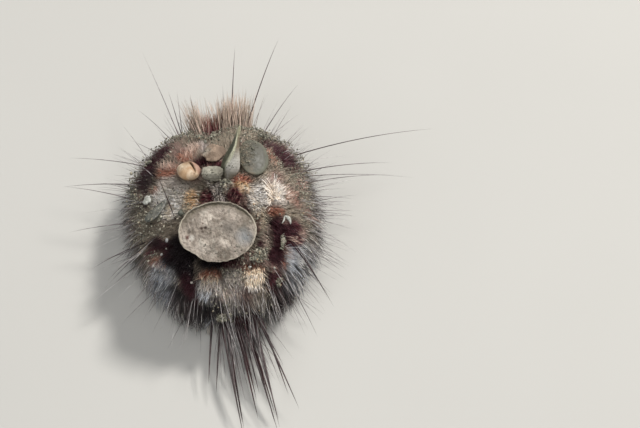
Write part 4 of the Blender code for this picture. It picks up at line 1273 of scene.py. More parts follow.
def shell_large_place(turn, share, side):
    """The large shell, lying on its round side and filled up, with a raised rim in front."""
    reach = shell_outline(turn) * share
    x, y = reach * np.sin(turn), reach * np.cos(turn)
    flat = np.stack([x, y], -1)
    edge = smooth(0.93, 0.975, share) * (1 - smooth(0.985, 1.0, share))
    if side > 0:
        front = smooth(-0.25, 0.45, np.cos(turn + 0.25))
        worn = front * (0.8 + 0.2 * ripple(ring_way(turn), 0.5, 33))
        z = 0.0007 * edge * worn - 0.00030 * bell(share - 0.925, 0.022) * front
        z = z + 0.0005 * (1 - share**2) + 0.00022 * ripple(flat, 0.0050, 34) * (1 - share**6)
        z = z + 0.00012 * ripple(flat, 0.0016, 35) + 0.00006 * ripple(flat, 0.0007, 36)
        z = z - 0.0007 * bell(np.hypot(x + 0.0076, y - 0.0002), 0.00055)
    else:
        z = -SHELL_BOWL * (1 - share**2.4) * 0.96 - 0.0003 + 0.0001 * ripple(flat, 0.002, 37)
        z = z + 0.00008 * np.sin(share * 60) * share
    return np.stack([x, y, z], -1)


def share_across(turn, share):
    """How far a place lies from a plate's long middle line, as a share of the width there."""
    level = np.cos(turn) * share
    return np.sin(turn) * share / np.sqrt(np.maximum(1e-6, 1 - level * level))


def upright_place(turn, share, side):
    """A thin valve standing on its rounded end and leaning to the right, folded along a pale ridge."""
    across = share_across(turn, share)
    along = 0.5 + 0.5 * np.cos(turn) * share
    base = np.sqrt(np.maximum(0, 1 - (1 - np.minimum(along / 0.30, 1)) ** 2))
    half = 0.0026 * base * (1 - 0.70 * smooth(0.20, 0.82, along)) * np.sqrt(1 - along**7)
    half = half * (1 + 0.05 * ripple(np.stack([along, across], -1), 0.6, 46))
    hollow = 0.0012 * (1 - across * across) * (1 - 0.45 * along)
    fold = mix(-0.6, 0.3, np.clip((along - 0.1) / 0.6, 0, 1))
    ridge = 0.0005 * bell(across - fold, 0.16) * smooth(0.10, 0.40, along)
    thick = 0.00026 * side * rounded(share, 4)
    return np.stack([half * across + 0.0006 * along**2, -hollow + thick + ridge, 0.0150 * along], -1)


DISC_HALF_WIDTH = 0.0040
DISC_HALF_LENGTH = 0.0056


def disc_place(turn, share, side):
    """A smooth oval disc, domed, with fine growth lines on top."""
    edge = 1 + 0.02 * ripple(ring_way(turn), 1.2, 41)
    x = DISC_HALF_WIDTH * edge * share * np.sin(turn)
    y = DISC_HALF_LENGTH * edge * share * np.cos(turn)
    z = side * 0.00045 * rounded(share)
    from_hinge = np.hypot(x / DISC_HALF_WIDTH, (y + 0.0016) / DISC_HALF_LENGTH)
    lines = 0.000006 * np.sin(from_hinge * 30)
    z = z + (0.0007 * (1 - share**2) + lines if side > 0 else 0.0003 * (1 - share**2))
    return np.stack([x, y, z], -1)


def chip_place(turn, share, side):
    """A chip of a scallop, its lines fanning from a corner."""
    ring = ring_way(turn)
    edge = 1 + 0.10 * ripple(ring, 1.0, 43) + 0.03 * ripple(ring, 0.3, 45)
    edge = edge - 0.22 * bell(np.cos(turn - 2.3) - 1, 0.25)
    x = 0.0030 * edge * share * np.sin(turn)
    y = 0.0032 * edge * share * np.cos(turn)
    fan = np.arctan2(x - 0.0016, y + 0.0038)
    ribs = 0.00003 * np.cos(fan * 34) * (side > 0)
    z = side * 0.00040 * rounded(share)
    return np.stack([x, y, z + 0.0007 * (1 - share**2) * (side > 0) + ribs], -1)


def sliver_place(turn, share, side):
    """A thin slip of shell, wide at one end and pointed at the other."""
    level = np.cos(turn)
    x = 0.0018 * share * np.sin(turn) * (1 - 0.42 * level)
    y = 0.0041 * share * level
    flat = np.stack([x, y], -1)
    z = side * 0.00036 * rounded(share, 5) + 0.00006 * ripple(flat, 0.0014, 44)
    fold = 0.0003 * bell(x / 0.0018 + 0.1, 0.3)
    return np.stack([x, y, z + 0.0003 * (1 - share**2) + fold], -1)


def ball_form(name, place, turns=64, bands=32):
    """A closed rounded piece, placed by turn and lift."""
    lifts = np.radians(np.linspace(-88, 88, bands))
    t, l = np.meshgrid(np.arange(turns) / turns * math.tau, lifts)
    return mesh_object(name, *closed_rings(place(t, l)))


def sphere_ways(t, l):
    """Points on a ball from turn and lift."""
    return np.stack([np.cos(l) * np.sin(t), np.cos(l) * np.cos(t), np.sin(l)], -1)


def snail_place(t, l):
    """A rounded snail with a blunt spire and a long mouth on top."""
    way = sphere_ways(t, l)
    whorl = 1 + 0.012 * np.sin(7 * np.arctan2(way[..., 2], way[..., 1]) + 3 * way[..., 0])
    whorl = whorl + 0.05 * ripple(way, 1.3, 51)
    tip = way @ np.array([0.60, -0.74, 0.30])
    whorl = whorl + 0.22 * bell(tip - 1, 0.22)
    size = np.stack([0.0031 * way[..., 0], 0.0026 * way[..., 1], 0.0022 * way[..., 2]], -1)
    size = size * whorl[..., None]
    size[..., 2] -= 0.0012 * snail_slit(size) * np.maximum(0, way[..., 2])
    return size


# The snail's mouth: where its middle is and which way is across it
SLIT_X = 0.0013
SLIT_Y = 0.00055
SLIT_ACROSS = 0.77, 0.64


def snail_slit(place):
    """1 along the snail's long mouth, on its top, and 0 elsewhere."""
    x, y = place[..., 0] - SLIT_X, place[..., 1] - SLIT_Y
    off = x * SLIT_ACROSS[0] + y * SLIT_ACROSS[1]
    down = x * SLIT_ACROSS[1] - y * SLIT_ACROSS[0]
    off = off + 45 * down * down - 0.00008
    half = mix(0.00026, 0.00012, smooth(-0.001, 0.0025, down))
    return bell(off, half) * (1 - smooth(0.0014, 0.0030, np.abs(down)))


def stone_place(t, l):
    """A boxy, pinched lump of rubble."""
    way = sphere_ways(t, l)
    boxy = power(way, 0.72)
    size = boxy * [0.0027, 0.0019, 0.0018] + [-0.0002, 0, 0]
    rough = 1 + 0.10 * ripple(way, 1.3, 52) + 0.06 * ripple(way, 0.5, 53) + 0.04 * ripple(way, 0.2, 54)
    pinch = 1 - 0.12 * bell(size[..., 0] + 0.0003, 0.0008)
    size = size * rough[..., None]
    size[..., 1] *= pinch
    size[..., 2] *= pinch
    return size


def on_top(node, x, y):
    """A point on the top of a worn piece, by its distance from the piece's middle."""
    low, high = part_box(node)
    return ((low.x + high.x) / 2 + x, (low.y + high.y) / 2 + y, high.z - 0.001)


def plate_material(name, dark, light, spot, scale, roughness, stains=()):
    """Blotched shell or stone with spots, and stains at some places."""
    g = Graph(name, specular=0.4)
    blotch = g.noise(scale, 4.0, 0.6, warp=0.4)
    fine = g.noise(scale * 6, 3.0, 0.6)
    colour = g.between(blotch, dark, light)
    colour = g.blend(g.span(fine, 0.56, 0.72, 0.0, 0.7), colour, spot)
    for point, size, stain in stains:
        patch = g.times(g.near(point, size), g.span(blotch, 0.3, 0.6, 0.5, 1.0))
        colour = g.blend(patch, colour, stain)
    g.relief(g.plus(fine, g.times(blotch, 0.6)), 0.00010)
    return g.finish(colour, g.span(fine, 0.3, 0.7, roughness - 0.1, roughness + 0.15))


def disc_material():
    """Smooth grey green shell, with a painted highlight that makes it paler at its edge, and tan where
    sand lies on it.
    """
    g = Graph("disc_look", specular=0.4)
    out, across = g.read("out", "Fac"), g.read("across", "Fac")
    blotch = g.noise(260, 4.0, 0.6, warp=0.4)
    colour = g.between(blotch, srgb(66, 65, 56), srgb(82, 79, 69))
    # Painted highlight: paler towards the edge
    edge = g.times(g.span(out, 0.70, 0.97), g.span(blotch, 0.25, 0.6, 0.5, 1.0))
    colour = g.blend(edge, colour, srgb(102, 102, 89))
    sanded = g.times(g.span(across, 0.05, -0.45), g.span(g.noise(700, 3.0, 0.6), 0.40, 0.58))
    colour = g.blend(g.times(sanded, 0.8), colour, srgb(108, 96, 80))
    fine = g.noise(1560, 3.0, 0.6)
    g.relief(g.plus(fine, g.times(blotch, 0.6)), 0.00010)
    return g.finish(colour, g.span(fine, 0.3, 0.7, 0.4, 0.65))


def snail_material():
    """Cream and peach snail shell with painted shade in its mouth and a pink lip."""
    g = Graph("snail_look", specular=0.45)
    blotch = g.noise(300, 4.0, 0.6, warp=0.4)
    fine = g.noise(1800, 3.0, 0.6)
    colour = g.between(blotch, srgb(160, 130, 100), srgb(206, 190, 166))
    colour = g.blend(g.span(fine, 0.56, 0.72, 0.0, 0.6), colour, srgb(134, 108, 84))
    colour = g.blend(g.span(g.noise(620, 2.0, 0.5), 0.60, 0.70, 0.0, 0.7), colour, srgb(106, 84, 64))
    bands = g.times(g.read("swirl", "Fac"), g.span(blotch, 0.35, 0.65, 0.1, 0.5))
    colour = g.blend(bands, colour, srgb(136, 104, 78))
    brown = g.times(g.near(on_top("worn_snail", 0.0, 0.0019), 0.0020), g.span(blotch, 0.3, 0.6, 0.4, 0.9))
    colour = g.blend(brown, colour, srgb(122, 96, 72))
    warm = g.times(g.near(on_top("worn_snail", -0.0012, -0.0016), 0.0020), 0.5)
    colour = g.blend(warm, colour, srgb(196, 148, 96))
    colour = g.blend(g.read("lip", "Fac"), colour, srgb(152, 120, 102))
    # Painted shade: dark brown along the mouth slit, where the shell opens
    colour = g.blend(g.span(g.read("slit", "Fac"), 0.05, 0.7), colour, srgb(84, 64, 44))
    g.relief(g.plus(fine, blotch), 0.00010)
    return g.finish(colour, g.span(fine, 0.3, 0.7, 0.45, 0.7))


def shell_large_material():
    """Old chalky shell, packed with sand: blotched beige and grey, speckled and pitted."""
    g = Graph("old_shell_look", specular=0.25)
    blotch = g.noise(260, 5.0, 0.6, warp=0.6)
    fine = g.noise(1500, 4.0, 0.65)
    colour = g.blend(g.span(blotch, 0.38, 0.62), srgb(104, 95, 85), srgb(160, 149, 138))
    colour = g.blend(g.span(g.noise(420, 3.0, 0.5), 0.55, 0.72), colour, srgb(160, 153, 142))
    grey = g.span(g.noise(330, 3.0, 0.5, warp=1.0), 0.58, 0.70, 0.0, 0.75)
    colour = g.blend(grey, colour, srgb(108, 103, 94))
    colour = g.blend(g.span(fine, 0.36, 0.48, 0.55, 0.0), colour, srgb(88, 79, 70))
    speck = g.span(g.cells(520), 0.16, 0.08)
    colour = g.blend(g.times(speck, g.span(blotch, 0.5, 0.6)), colour, srgb(74, 56, 48))
    height = g.plus(g.times(fine, 0.6), g.span(g.cells(1900), 0.1, 0.5, 0.0, 0.6))
    g.relief(height, 0.00014)

    def near(x, y, size):
        return g.near(on_top("worn_shell_large", x, y), size)

    out, front = g.read("out", "Fac"), g.read("along", "Fac")
    patchy = g.noise(700, 3.0, 0.6)
    # Painted shadow: a darker band just inside the raised front rim
    inner = g.times(g.span(out, 0.76, 0.90), g.span(front, 0.05, 0.55))
    inner = g.times(inner, g.span(patchy, 0.35, 0.6, 0.45, 1.0))
    colour = g.blend(inner, colour, srgb(86, 79, 66))
    rim = g.span(g.plus(out, g.times(g.noise(420, 3.0, 0.6), 0.06)), 0.980, 1.0)
    rim = g.times(rim, g.span(front, -0.85, 0.25, 0.30, 1.0))
    colour = g.blend(g.times(rim, 0.8), colour, srgb(166, 158, 142))
    for x, y, size in ((-0.0020, 0.0036, 0.0030), (0.0018, -0.0030, 0.0026), (-0.0040, -0.0040, 0.0026)):
        pale = g.times(near(x, y, size), g.span(patchy, 0.40, 0.62))
        colour = g.blend(pale, colour, srgb(184, 174, 162))
    colour = g.blend(near(-0.0078, -0.0008, 0.0010), colour, srgb(74, 40, 34))
    colour = g.blend(near(-0.0068, -0.0012, 0.0011), colour, srgb(190, 184, 174))
    colour = g.blend(g.times(near(0.0032, 0.0004, 0.0028), 0.6), colour, srgb(84, 80, 74))
    colour = g.blend(g.times(near(0.0068, -0.0024, 0.0032), 0.6), colour, srgb(128, 134, 138))
    for x, y, size in (
        (-0.0040, 0.0012, 0.0007), (-0.0030, 0.0012, 0.0006), (-0.0038, 0.0002, 0.0006),
        (0.0028, -0.0054, 0.0007), (0.0012, 0.0010, 0.0005),
    ):
        colour = g.blend(near(x, y, size), colour, srgb(58, 45, 39))
    return g.finish(colour, 0.85)


def upright_material():
    """Olive shell on one side of a pale ridge and grey on the other."""
    g = Graph("upright_look", specular=0.5)
    across, upper = g.read("across", "Fac"), g.read("upper", "Fac")
    along = g.read("along", "Fac")
    blotch = g.noise(500, 4.0, 0.6)
    olive = g.between(blotch, srgb(56, 58, 44), srgb(82, 82, 64))
    grey = g.between(blotch, srgb(158, 154, 146), srgb(188, 184, 174))
    grey = g.blend(g.span(along, -0.45, -0.75), grey, srgb(92, 86, 76))
    fold = g.span(along, -0.8, 0.4, -0.6, 0.3)
    wavy = g.times(g.math("SUBTRACT", blotch, 0.5), 0.3)
    bent = g.plus(g.math("SUBTRACT", across, fold), wavy)
    line = g.math("SINE", g.times(g.plus(along, g.times(blotch, 0.1)), 60.0))
    # Painted shadow: the grey side is tan on its upper half, beside the ridge
    grey = g.blend(g.span(along, -0.20, 0.25), grey, srgb(118, 106, 88))
    grey = g.blend(g.span(line, 0.0, 1.0, 0.0, 0.12), grey, srgb(112, 104, 92))
    colour = g.blend(g.span(bent, -0.10, 0.06), olive, grey)
    ridge = g.times(g.span(bent, -0.34, -0.14), g.span(bent, 0.30, 0.06))
    ridge = g.times(ridge, g.span(along, -0.55, 0.0))
    colour = g.blend(ridge, colour, srgb(212, 210, 186))
    colour = g.blend(g.span(along, 0.55, 0.85), colour, srgb(160, 156, 130))
    colour = g.blend(upper, colour, g.blend(0.6, colour, srgb(70, 70, 54)))
    g.relief(g.plus(g.noise(1600, 3.0, 0.6), g.times(line, 0.10)), 0.00012)
    return g.finish(colour, g.span(blotch, 0.3, 0.7, 0.35, 0.6))


def chip_material():
    dark, light, spot = srgb(104, 88, 74), srgb(154, 134, 116), srgb(74, 64, 55)
    return plate_material("chip_look", dark, light, spot, 420, 0.85, (
        (on_top("worn_chip", 0.0024, 0.0), 0.0024, srgb(98, 83, 71)),
        (on_top("worn_chip", -0.0022, 0.0004), 0.0020, srgb(152, 144, 132)),
    ))


def sliver_material():
    return plate_material("sliver_look", srgb(62, 64, 59), srgb(96, 95, 88), srgb(196, 188, 170), 420, 0.5)


def stone_material():
    dark, light, spot = srgb(130, 126, 114), srgb(154, 150, 136), srgb(170, 164, 150)
    stain = (on_top("worn_stone", 0.0026, -0.0002), 0.0028, srgb(96, 92, 82))
    return plate_material("stone_look", dark, light, spot, 700, 0.9, (stain,))


def grit_material():
    """Single sand grains, each of its own colour, rough and a little glassy."""
    g = Graph("grit_look", specular=0.3)
    fine = g.noise(3200, 3.0, 0.6)
    shade = g.blend(g.span(fine, 0.3, 0.7), (0.7, 0.7, 0.68), (1.2, 1.18, 1.15))
    colour = g.blend(1.0, g.read("mark"), shade, "MULTIPLY")
    g.relief(fine, 0.00008)
    return g.finish(colour, g.span(fine, 0.3, 0.7, 0.45, 0.8))


# The kinds of sand grain: colour and share of all
GRAINS = [
    (srgb(134, 130, 116), 0.36), (srgb(118, 117, 104), 0.24), (srgb(158, 152, 136), 0.14),
    (srgb(192, 188, 174), 0.05), (srgb(96, 94, 84), 0.13), (srgb(152, 134, 112), 0.04),
    (srgb(70, 66, 60), 0.04),
]

# Where grit lies: patches on the chart, as for the markings, with how many grains each has
GRIT = [
    (0.10, 0.52, 0.36, 0.20, 90, 2600), (-0.30, 0.48, 0.28, 0.16, 60, 1500),
    (0.38, 0.44, 0.24, 0.15, 120, 1300), (-0.64, 0.05, 0.34, 0.16, 0, 1500),
    (-0.33, 0.00, 0.12, 0.12, 0, 200), (-0.55, -0.20, 0.18, 0.14, 30, 800),
    (0.0, 0.03, 0.13, 0.07, 90, 300), (0.60, 0.16, 0.20, 0.12, 0, 700),
    (0.36, 0.14, 0.12, 0.10, 0, 260), (0.04, -0.56, 0.12, 0.10, 90, 600),
    (-0.12, -0.78, 0.14, 0.16, 90, 500), (0.23, -0.30, 0.10, 0.05, -10, 160),
    (0.42, -0.20, 0.10, 0.08, 0, 60), (0.0, 0.80, 0.6, 0.14, 90, 900),
    (0.30, -0.80, 0.2, 0.1, 60, 120), (0.0, 0.0, 1.0, 0.9, 0, 900),
    (-0.22, -0.10, 0.10, 0.08, 0, 220), (0.20, 0.32, 0.12, 0.10, 0, 400),
    (0.68, -0.05, 0.22, 0.12, 0, 500), (-0.66, 0.40, 0.24, 0.14, -30, 700),
    (0.64, 0.42, 0.22, 0.14, 30, 600),
]
# Lumps of grit: place on the chart, size across and along in mm, how many grains
LUMPS = [
    (0.20, -0.45, 3.0, 2.4, 260), (-0.10, -0.80, 1.4, 2.6, 400), (0.02, 0.40, 2.6, 1.2, 60),
    (0.30, 0.36, 2.2, 1.4, 80), (-0.10, 0.38, 1.8, 1.0, 60),
    (0.36, -0.66, 1.0, 1.8, 50), (-0.42, -0.14, 1.6, 1.4, 56), (-0.46, 0.42, 2.0, 1.2, 40),
    (0.02, -0.02, 2.0, 1.0, 70), (0.38, -0.39, 0.9, 2.4, 70),
]
# How bright the grains of lumps are
LUMP_SHADE = 0.78
# Single bits: place on the chart, size in mm, colour
BITS = [
    (0.11, -0.52, 0.50, srgb(160, 160, 155)), (-0.28, -0.58, 0.46, srgb(172, 166, 158)),
    (0.39, -0.40, 0.50, srgb(128, 120, 114)), (-0.39, -0.30, 0.50, srgb(132, 132, 132)),
    (0.22, -0.43, 0.40, srgb(138, 134, 122)), (0.33, -0.55, 0.40, srgb(142, 140, 132)),
    (-0.42, -0.34, 0.35, srgb(128, 124, 118)), (-0.48, -0.37, 0.35, srgb(140, 140, 136)),
    (0.30, 0.58, 0.60, srgb(140, 132, 114)), (-0.26, -0.47, 0.22, srgb(110, 108, 102)),
    (-0.24, -0.16, 0.95, srgb(84, 86, 78)), (-0.20, -0.18, 0.60, srgb(104, 102, 92)),
    (-0.08, 0.31, 0.42, srgb(120, 120, 110)), (0.15, -0.36, 0.40, srgb(112, 106, 94)),
    (-0.42, -0.21, 0.45, srgb(116, 112, 100)),
    (-0.20, -0.44, 0.20, srgb(116, 112, 106)), (-0.30, -0.52, 0.22, srgb(104, 100, 96)),
    (0.02, -0.03, 0.75, srgb(150, 144, 130)), (0.06, -0.04, 0.50, srgb(138, 128, 114)),
    (-0.02, -0.01, 0.50, srgb(132, 130, 118)), (-0.10, -0.76, 0.50, srgb(88, 85, 78)),
    (-0.09, -0.82, 0.60, srgb(84, 81, 74)), (-0.12, -0.86, 0.45, srgb(92, 88, 80)),
]


def grains(centres, sizes, seed, rounder):
    """Many small lumps, each a bent ball of 20 or, where rounder, 80 faces: their points and faces."""
    pick = np.random.default_rng(seed)
    phi = (1 + math.sqrt(5)) / 2
    base = unit(np.array([
        (-1, phi, 0), (1, phi, 0), (-1, -phi, 0), (1, -phi, 0), (0, -1, phi), (0, 1, phi),
        (0, -1, -phi), (0, 1, -phi), (phi, 0, -1), (phi, 0, 1), (-phi, 0, -1), (-phi, 0, 1),
    ], float))
    faces = np.array([
        (0, 11, 5), (0, 5, 1), (0, 1, 7), (0, 7, 10), (0, 10, 11), (1, 5, 9), (5, 11, 4), (11, 10, 2),
        (10, 7, 6), (7, 1, 8), (3, 9, 4), (3, 4, 2), (3, 2, 6), (3, 6, 8), (3, 8, 9), (4, 9, 5),
        (2, 4, 11), (6, 2, 10), (8, 6, 7), (9, 8, 1),
    ])
    if rounder:
        edges, extra, split = {}, [], []

        def middle(a, b):
            key = (min(a, b), max(a, b))
            if key not in edges:
                edges[key] = len(base) + len(extra)
                extra.append((base[a] + base[b]) / 2)
            return edges[key]

        for a, b, c in faces:
            ab, bc, ca = middle(a, b), middle(b, c), middle(c, a)
            split += [(a, ab, ca), (ab, b, bc), (ca, bc, c), (ab, bc, ca)]
        base = unit(np.concatenate([base, np.array(extra)]))
        faces = np.array(split)
    count = len(centres)
    bumps = 1 + pick.uniform(-0.2, 0.2, (count, len(base)))
    shape = pick.uniform(0.55, 1.35, (count, 1, 3)) * [1, 1, 0.7]
    spin = pick.normal(size=(count, 3, 3))
    spin, _ = np.linalg.qr(spin)
    spin[np.linalg.det(spin) < 0, :, 0] *= -1
    local = (base[None] * bumps[..., None] * shape) @ spin
    points = centres[:, None] + local * sizes[:, None, None]
    all_faces = faces[None] + (np.arange(count) * len(base))[:, None, None]
    return points.reshape(-1, 3), all_faces.reshape(-1, 3), len(base)


def grain_colours(count, seed):
    """A colour for each grain, of the kinds of sand there are."""
    pick = np.random.default_rng(seed)
    kinds = pick.choice(len(GRAINS), count, p=[share for _, share in GRAINS])
    colour = np.array([tone for tone, _ in GRAINS])[kinds]
    return colour * np.exp(pick.normal(size=(count, 1)) * 0.22)


# How far a grain may lie from a spine, and half sizes of grains: loose ones, those in lumps, those
# on the worn pieces, and the least that is rounder and lies in the piece of big ones
GRAIN_GAP = 0.00025
GRAIN_SIZE = 0.000105
LUMP_GRAIN_SIZE = 0.00020
DUST_SIZE = 0.00010
BIG_GRAIN = 0.000185


def onto_coat(places, seed):
    """Draws the places that are off the coat down to its nearest spine."""
    stray = np.random.default_rng(seed).normal(size=(len(places), 3)) * 0.00008
    for i, place in enumerate(places):
        near, _, gap = COAT_TREE.find(place)
        if gap > GRAIN_GAP:
            places[i] = np.array(near) + stray[i]
    return places


def scattered_grit():
    """Where the loose grains lie on the coat, and how big they are."""
    pick = np.random.default_rng(61)
    centres, sizes = [], []
    for u, v, length, width, heading, count in GRIT:
        spot = pick.normal(size=(count, 2)) * 0.55
        way = math.radians(heading)
        u_all = u + spot[:, 0] * length * math.sin(way) + spot[:, 1] * width * math.cos(way)
        v_all = v + spot[:, 0] * length * math.cos(way) - spot[:, 1] * width * math.sin(way)
        reach = np.hypot(u_all, v_all)
        tone = brightness(marks(np.stack([u_all, v_all], -1)))
        keep = (reach < 1.05) & (pick.uniform(size=count) < mix(0.14, 1.0, smooth(0.03, 0.13, tone)))
        turn, lift = unchart(u_all[keep], v_all[keep])
        centres.append(coat_surface(turn, lift, pick.uniform(0.60, 0.98, keep.sum())))
        sizes.append(np.exp(pick.normal(size=keep.sum()) * 0.42) * GRAIN_SIZE)
    centres = [onto_coat(np.concatenate(centres), 65)]
    for u, v, across, deep, count in LUMPS:
        turn, lift = unchart(np.array([u]), np.array([v]))
        middle = onto_coat(coat_surface(turn, lift, np.full(1, 0.97)), 67)[0]
        outward = test_normal(turn, lift)[0]
        spread = np.clip(pick.normal(size=(count, 3)), -1.9, 1.9) * [across / 2400, deep / 2400, 0.0004]
        flat = spread - outward * (spread @ outward)[:, None] * 0.7
        centres.append(middle + flat)
        sizes.append(np.exp(pick.normal(size=count) * 0.35) * LUMP_GRAIN_SIZE)
    return np.concatenate(centres), np.concatenate(sizes)


def dust_on(piece, count, low_side, seed):
    """Places on the top of a piece, with more of them on one side of it, for grains to lie on."""
    pick = np.random.default_rng(seed)
    obj = bpy.data.objects[piece]
    size = len(obj.data.vertices)
    place, way = np.zeros(size * 3), np.zeros(size * 3)
    obj.data.vertices.foreach_get("co", place)
    obj.data.vertex_normals.foreach_get("vector", way)
    place, way = place.reshape(-1, 3), way.reshape(-1, 3)
    centre, span = place.mean(0), np.ptp(place, axis=0)
    across = ((place - centre) / span)[:, :2] @ np.array(low_side)
    weight = np.clip(way[:, 2], 0, 1) ** 2 * smooth(-0.15, 0.45, across)
    chosen = pick.choice(size, count, p=weight / weight.sum())
    sizes = np.exp(pick.normal(size=count) * 0.4) * DUST_SIZE
    return place[chosen] + way[chosen] * sizes[:, None] * 0.3, sizes


WORN = ["shell_large", "shell_upright", "disc", "shell_chip", "sliver", "snail", "stone"]


# How many spines there are of each kind
COAT_SPINES = 27000
FRINGE_SPINES = 9000
UNDERFRINGE_SPINES = 6500
FAN_SPINES = 1100
BELLY_SPINES = 2300
WHISKERS = 280
TAIL_HAIRS = 70
# Half the thickness of the long ones at the foot
LONG_RADIUS = 0.00017
BACK_RADIUS = 0.00020
TAIL_RADIUS = 0.00030
WHISKER_RADIUS = 0.00011
HAIR_RADIUS = 0.00014


def build_body():
    """The skin and the coat. Gives the tree that finds the coat's points, for the grit to lie on."""
    skin()
    look = coat_material("coat_look", 0.5)
    coat = gather(velvet(COAT_SPINES, math.radians(88.5), math.radians(22)), 2200, 0.26)
    coat = colour_velvet(shorten(coat))
    turn, reach = np.degrees(coat["turn"]), coat["reach"]
    crown = reach < 0.34
    rim = gather(fringe(FRINGE_SPINES, math.radians(38), math.radians(-34), False), 520, 0.36)
    rim = colour_fringe(shorten(rim), False)
    inner = colour_fringe(fringe(UNDERFRINGE_SPINES, math.radians(34), math.radians(-34), True), True)
    rim_turn, inner_turn = np.degrees(rim["turn"]), np.degrees(inner["turn"])
    places = [spine_points(coat, share) for share in (0.55, 0.75, 0.95)]
    places += [spine_points(rim, share) for share in (0.4, 0.6, 0.8, 0.95)]
    for name, spines, keep, rings, slot in (
        ("coat_crown", coat, crown, 3, "apical_disc"),
        ("coat_front", coat, ~crown & (np.abs(turn) < 45), 3, "shoulder_right"),
        ("coat_right", coat, ~crown & (turn >= 45) & (turn < 135), 3, "flank_right"),
        ("coat_left", coat, ~crown & (turn <= -45) & (turn > -135), 3, "flank_left"),
        ("coat_rear", coat, ~crown & (np.abs(turn) >= 135), 3, "rump"),
        ("fringe_front", rim, np.abs(rim_turn) < 70, 5, "shoulder_left"),
        ("fringe_right", rim, rim_turn >= 70, 5, "flank_right"),
        ("fringe_left", rim, rim_turn <= -70, 5, "flank_left"),
        ("underfringe_front", inner, np.abs(inner_turn) < 90, 4, "shoulder_left"),
        ("underfringe_rear", inner, np.abs(inner_turn) >= 90, 4, "rump"),
    ):
        obj = joined_spines(name, part_of(spines, keep), 3, rings)
        dress(obj, look, slot)
    bristles = shorten(combs(COMBS))
    obj = joined_spines("combs", part_of(bristles, np.ones(len(bristles["root"]), bool)), 5, 5)
    dress(obj, look, "apical_disc")
    fan = shorten(gather(front_fan(FAN_SPINES), 220, 0.15))
    obj = joined_spines("front_fan", part_of(fan, np.ones(len(fan["root"]), bool)), 3, 7)
    dress(obj, look, "shoulder_left")
    under = belly_coat(BELLY_SPINES)
    for name, keep, slot in (
        ("belly_coat_right", under["root"][:, 0] >= 0, "underside_right"),
        ("belly_coat_left", under["root"][:, 0] < 0, "underside_left"),
    ):
        obj = joined_spines(name, part_of(under, keep), 5, 4, end=0.8)
        dress(obj, look, slot)
    stiff = coat_material("long_spine_look", 0.5, specular=0.2)
    for name, rows, radius, slot in (
        ("long_spines_front", LONG_FRONT, LONG_RADIUS, "shoulder_left"),
        ("long_spines_right", LONG_RIGHT, LONG_RADIUS, "flank_right"),
        ("long_spines_left", LONG_LEFT, LONG_RADIUS, "flank_left"),
        ("long_spines_back", LONG_BACK, BACK_RADIUS, "shoulder_right"),
        ("tail_tuft", TAIL, TAIL_RADIUS, "tail_pad"),
        ("whiskers", whiskers(WHISKERS, 71), WHISKER_RADIUS, "flank_left"),
        ("tail_hairs", tail_hairs(TAIL_HAIRS, 72), HAIR_RADIUS, "tail_pad"),
    ):
        spines = long_set(rows, radius)
        spines["shade"] = shading(spines)
        obj = joined_spines(name, spines, 6, 14, taper=3.2 if name == "tail_tuft" else 1.8)
        dress(obj, stiff, slot)
    return points_tree(np.concatenate(places))


def mark_snail(obj):
    """Notes on the snail, before it is turned, where its whorls, its mouth and its lip are."""
    co = np.array([v.co for v in obj.data.vertices])
    x, y = co[:, 0] + 0.0022, co[:, 1] + 0.0006
    swirl = np.sin(6 * np.hypot(x, y) / 0.0016 + 2 * np.arctan2(co[:, 1], co[:, 0]))
    beyond = (co[:, 0] - SLIT_X) * SLIT_ACROSS[0] + (co[:, 1] - SLIT_Y) * SLIT_ACROSS[1]
    grade(obj, "swirl", smooth(0.2, 1.0, swirl))
    grade(obj, "slit", snail_slit(co) * (co[:, 2] > 0))
    grade(obj, "lip", smooth(0.0002, 0.0006, beyond))


def build_worn():
    """The shells, the snail and the stone that the animal wears, each in its solid's place."""
    shell = disc_form("shell_large", shell_large_place, 220, 60)
    settle(shell, "worn_shell_large", 2, -9, 3)
    dress(shell, shell_large_material(), "worn_shell_large", "worn_shell_large")

    upright = disc_form("shell_upright", upright_place, 128, 40)
    upright.data.flip_normals()
    upright.data.transform(Matrix.Rotation(-math.radians(50), 4, "X"))
    settle(upright, "worn_shell_upright", 22, 0, 0)
    upright.data.transform(Matrix.Translation((-0.0009, 0.0001, 0)))
    dress(upright, upright_material(), "worn_shell_upright", "worn_shell_upright")

    for name, node, place, turned, look in (
        ("disc", "worn_disc", disc_place, (0, 4, 12), disc_material()),
        ("shell_chip", "worn_chip", chip_place, (15, 16, 0), chip_material()),
        ("sliver", "worn_sliver", sliver_place, (48, 0, -32), sliver_material()),
    ):
        obj = disc_form(name, place, 120, 30)
        settle(obj, node, *turned)
        dress(obj, look, node, node)

    for name, node, place, turned, look in (
        ("snail", "worn_snail", snail_place, (20, 8, -10), snail_material()),
        ("stone", "worn_stone", stone_place, (10, 0, 0), stone_material()),
    ):
        obj = ball_form(name, place)
        if name == "snail":
            mark_snail(obj)
        settle(obj, node, *turned)
        dress(obj, look, node, node)


def loose_chip(name, place, u, v, share, yaw, tilt, look):
    """A small bit of shell lying in the coat, at a place of the chart."""
    turn, lift = unchart(np.array([u]), np.array([v]))
    where = coat_surface(turn, lift, share)[0]
    lean = Vector(test_normal(turn, lift)[0] + [0, -0.2, 0.9]).to_track_quat("Z", "Y").to_matrix()
    obj = disc_form(name, place, 48, 12)
    turned = lean @ Euler((math.radians(tilt), 0, -math.radians(yaw)), "XYZ").to_matrix()
    obj.data.transform(Matrix.Translation(Vector(where)) @ turned.to_4x4())
    dress(obj, look, "worn_chip")


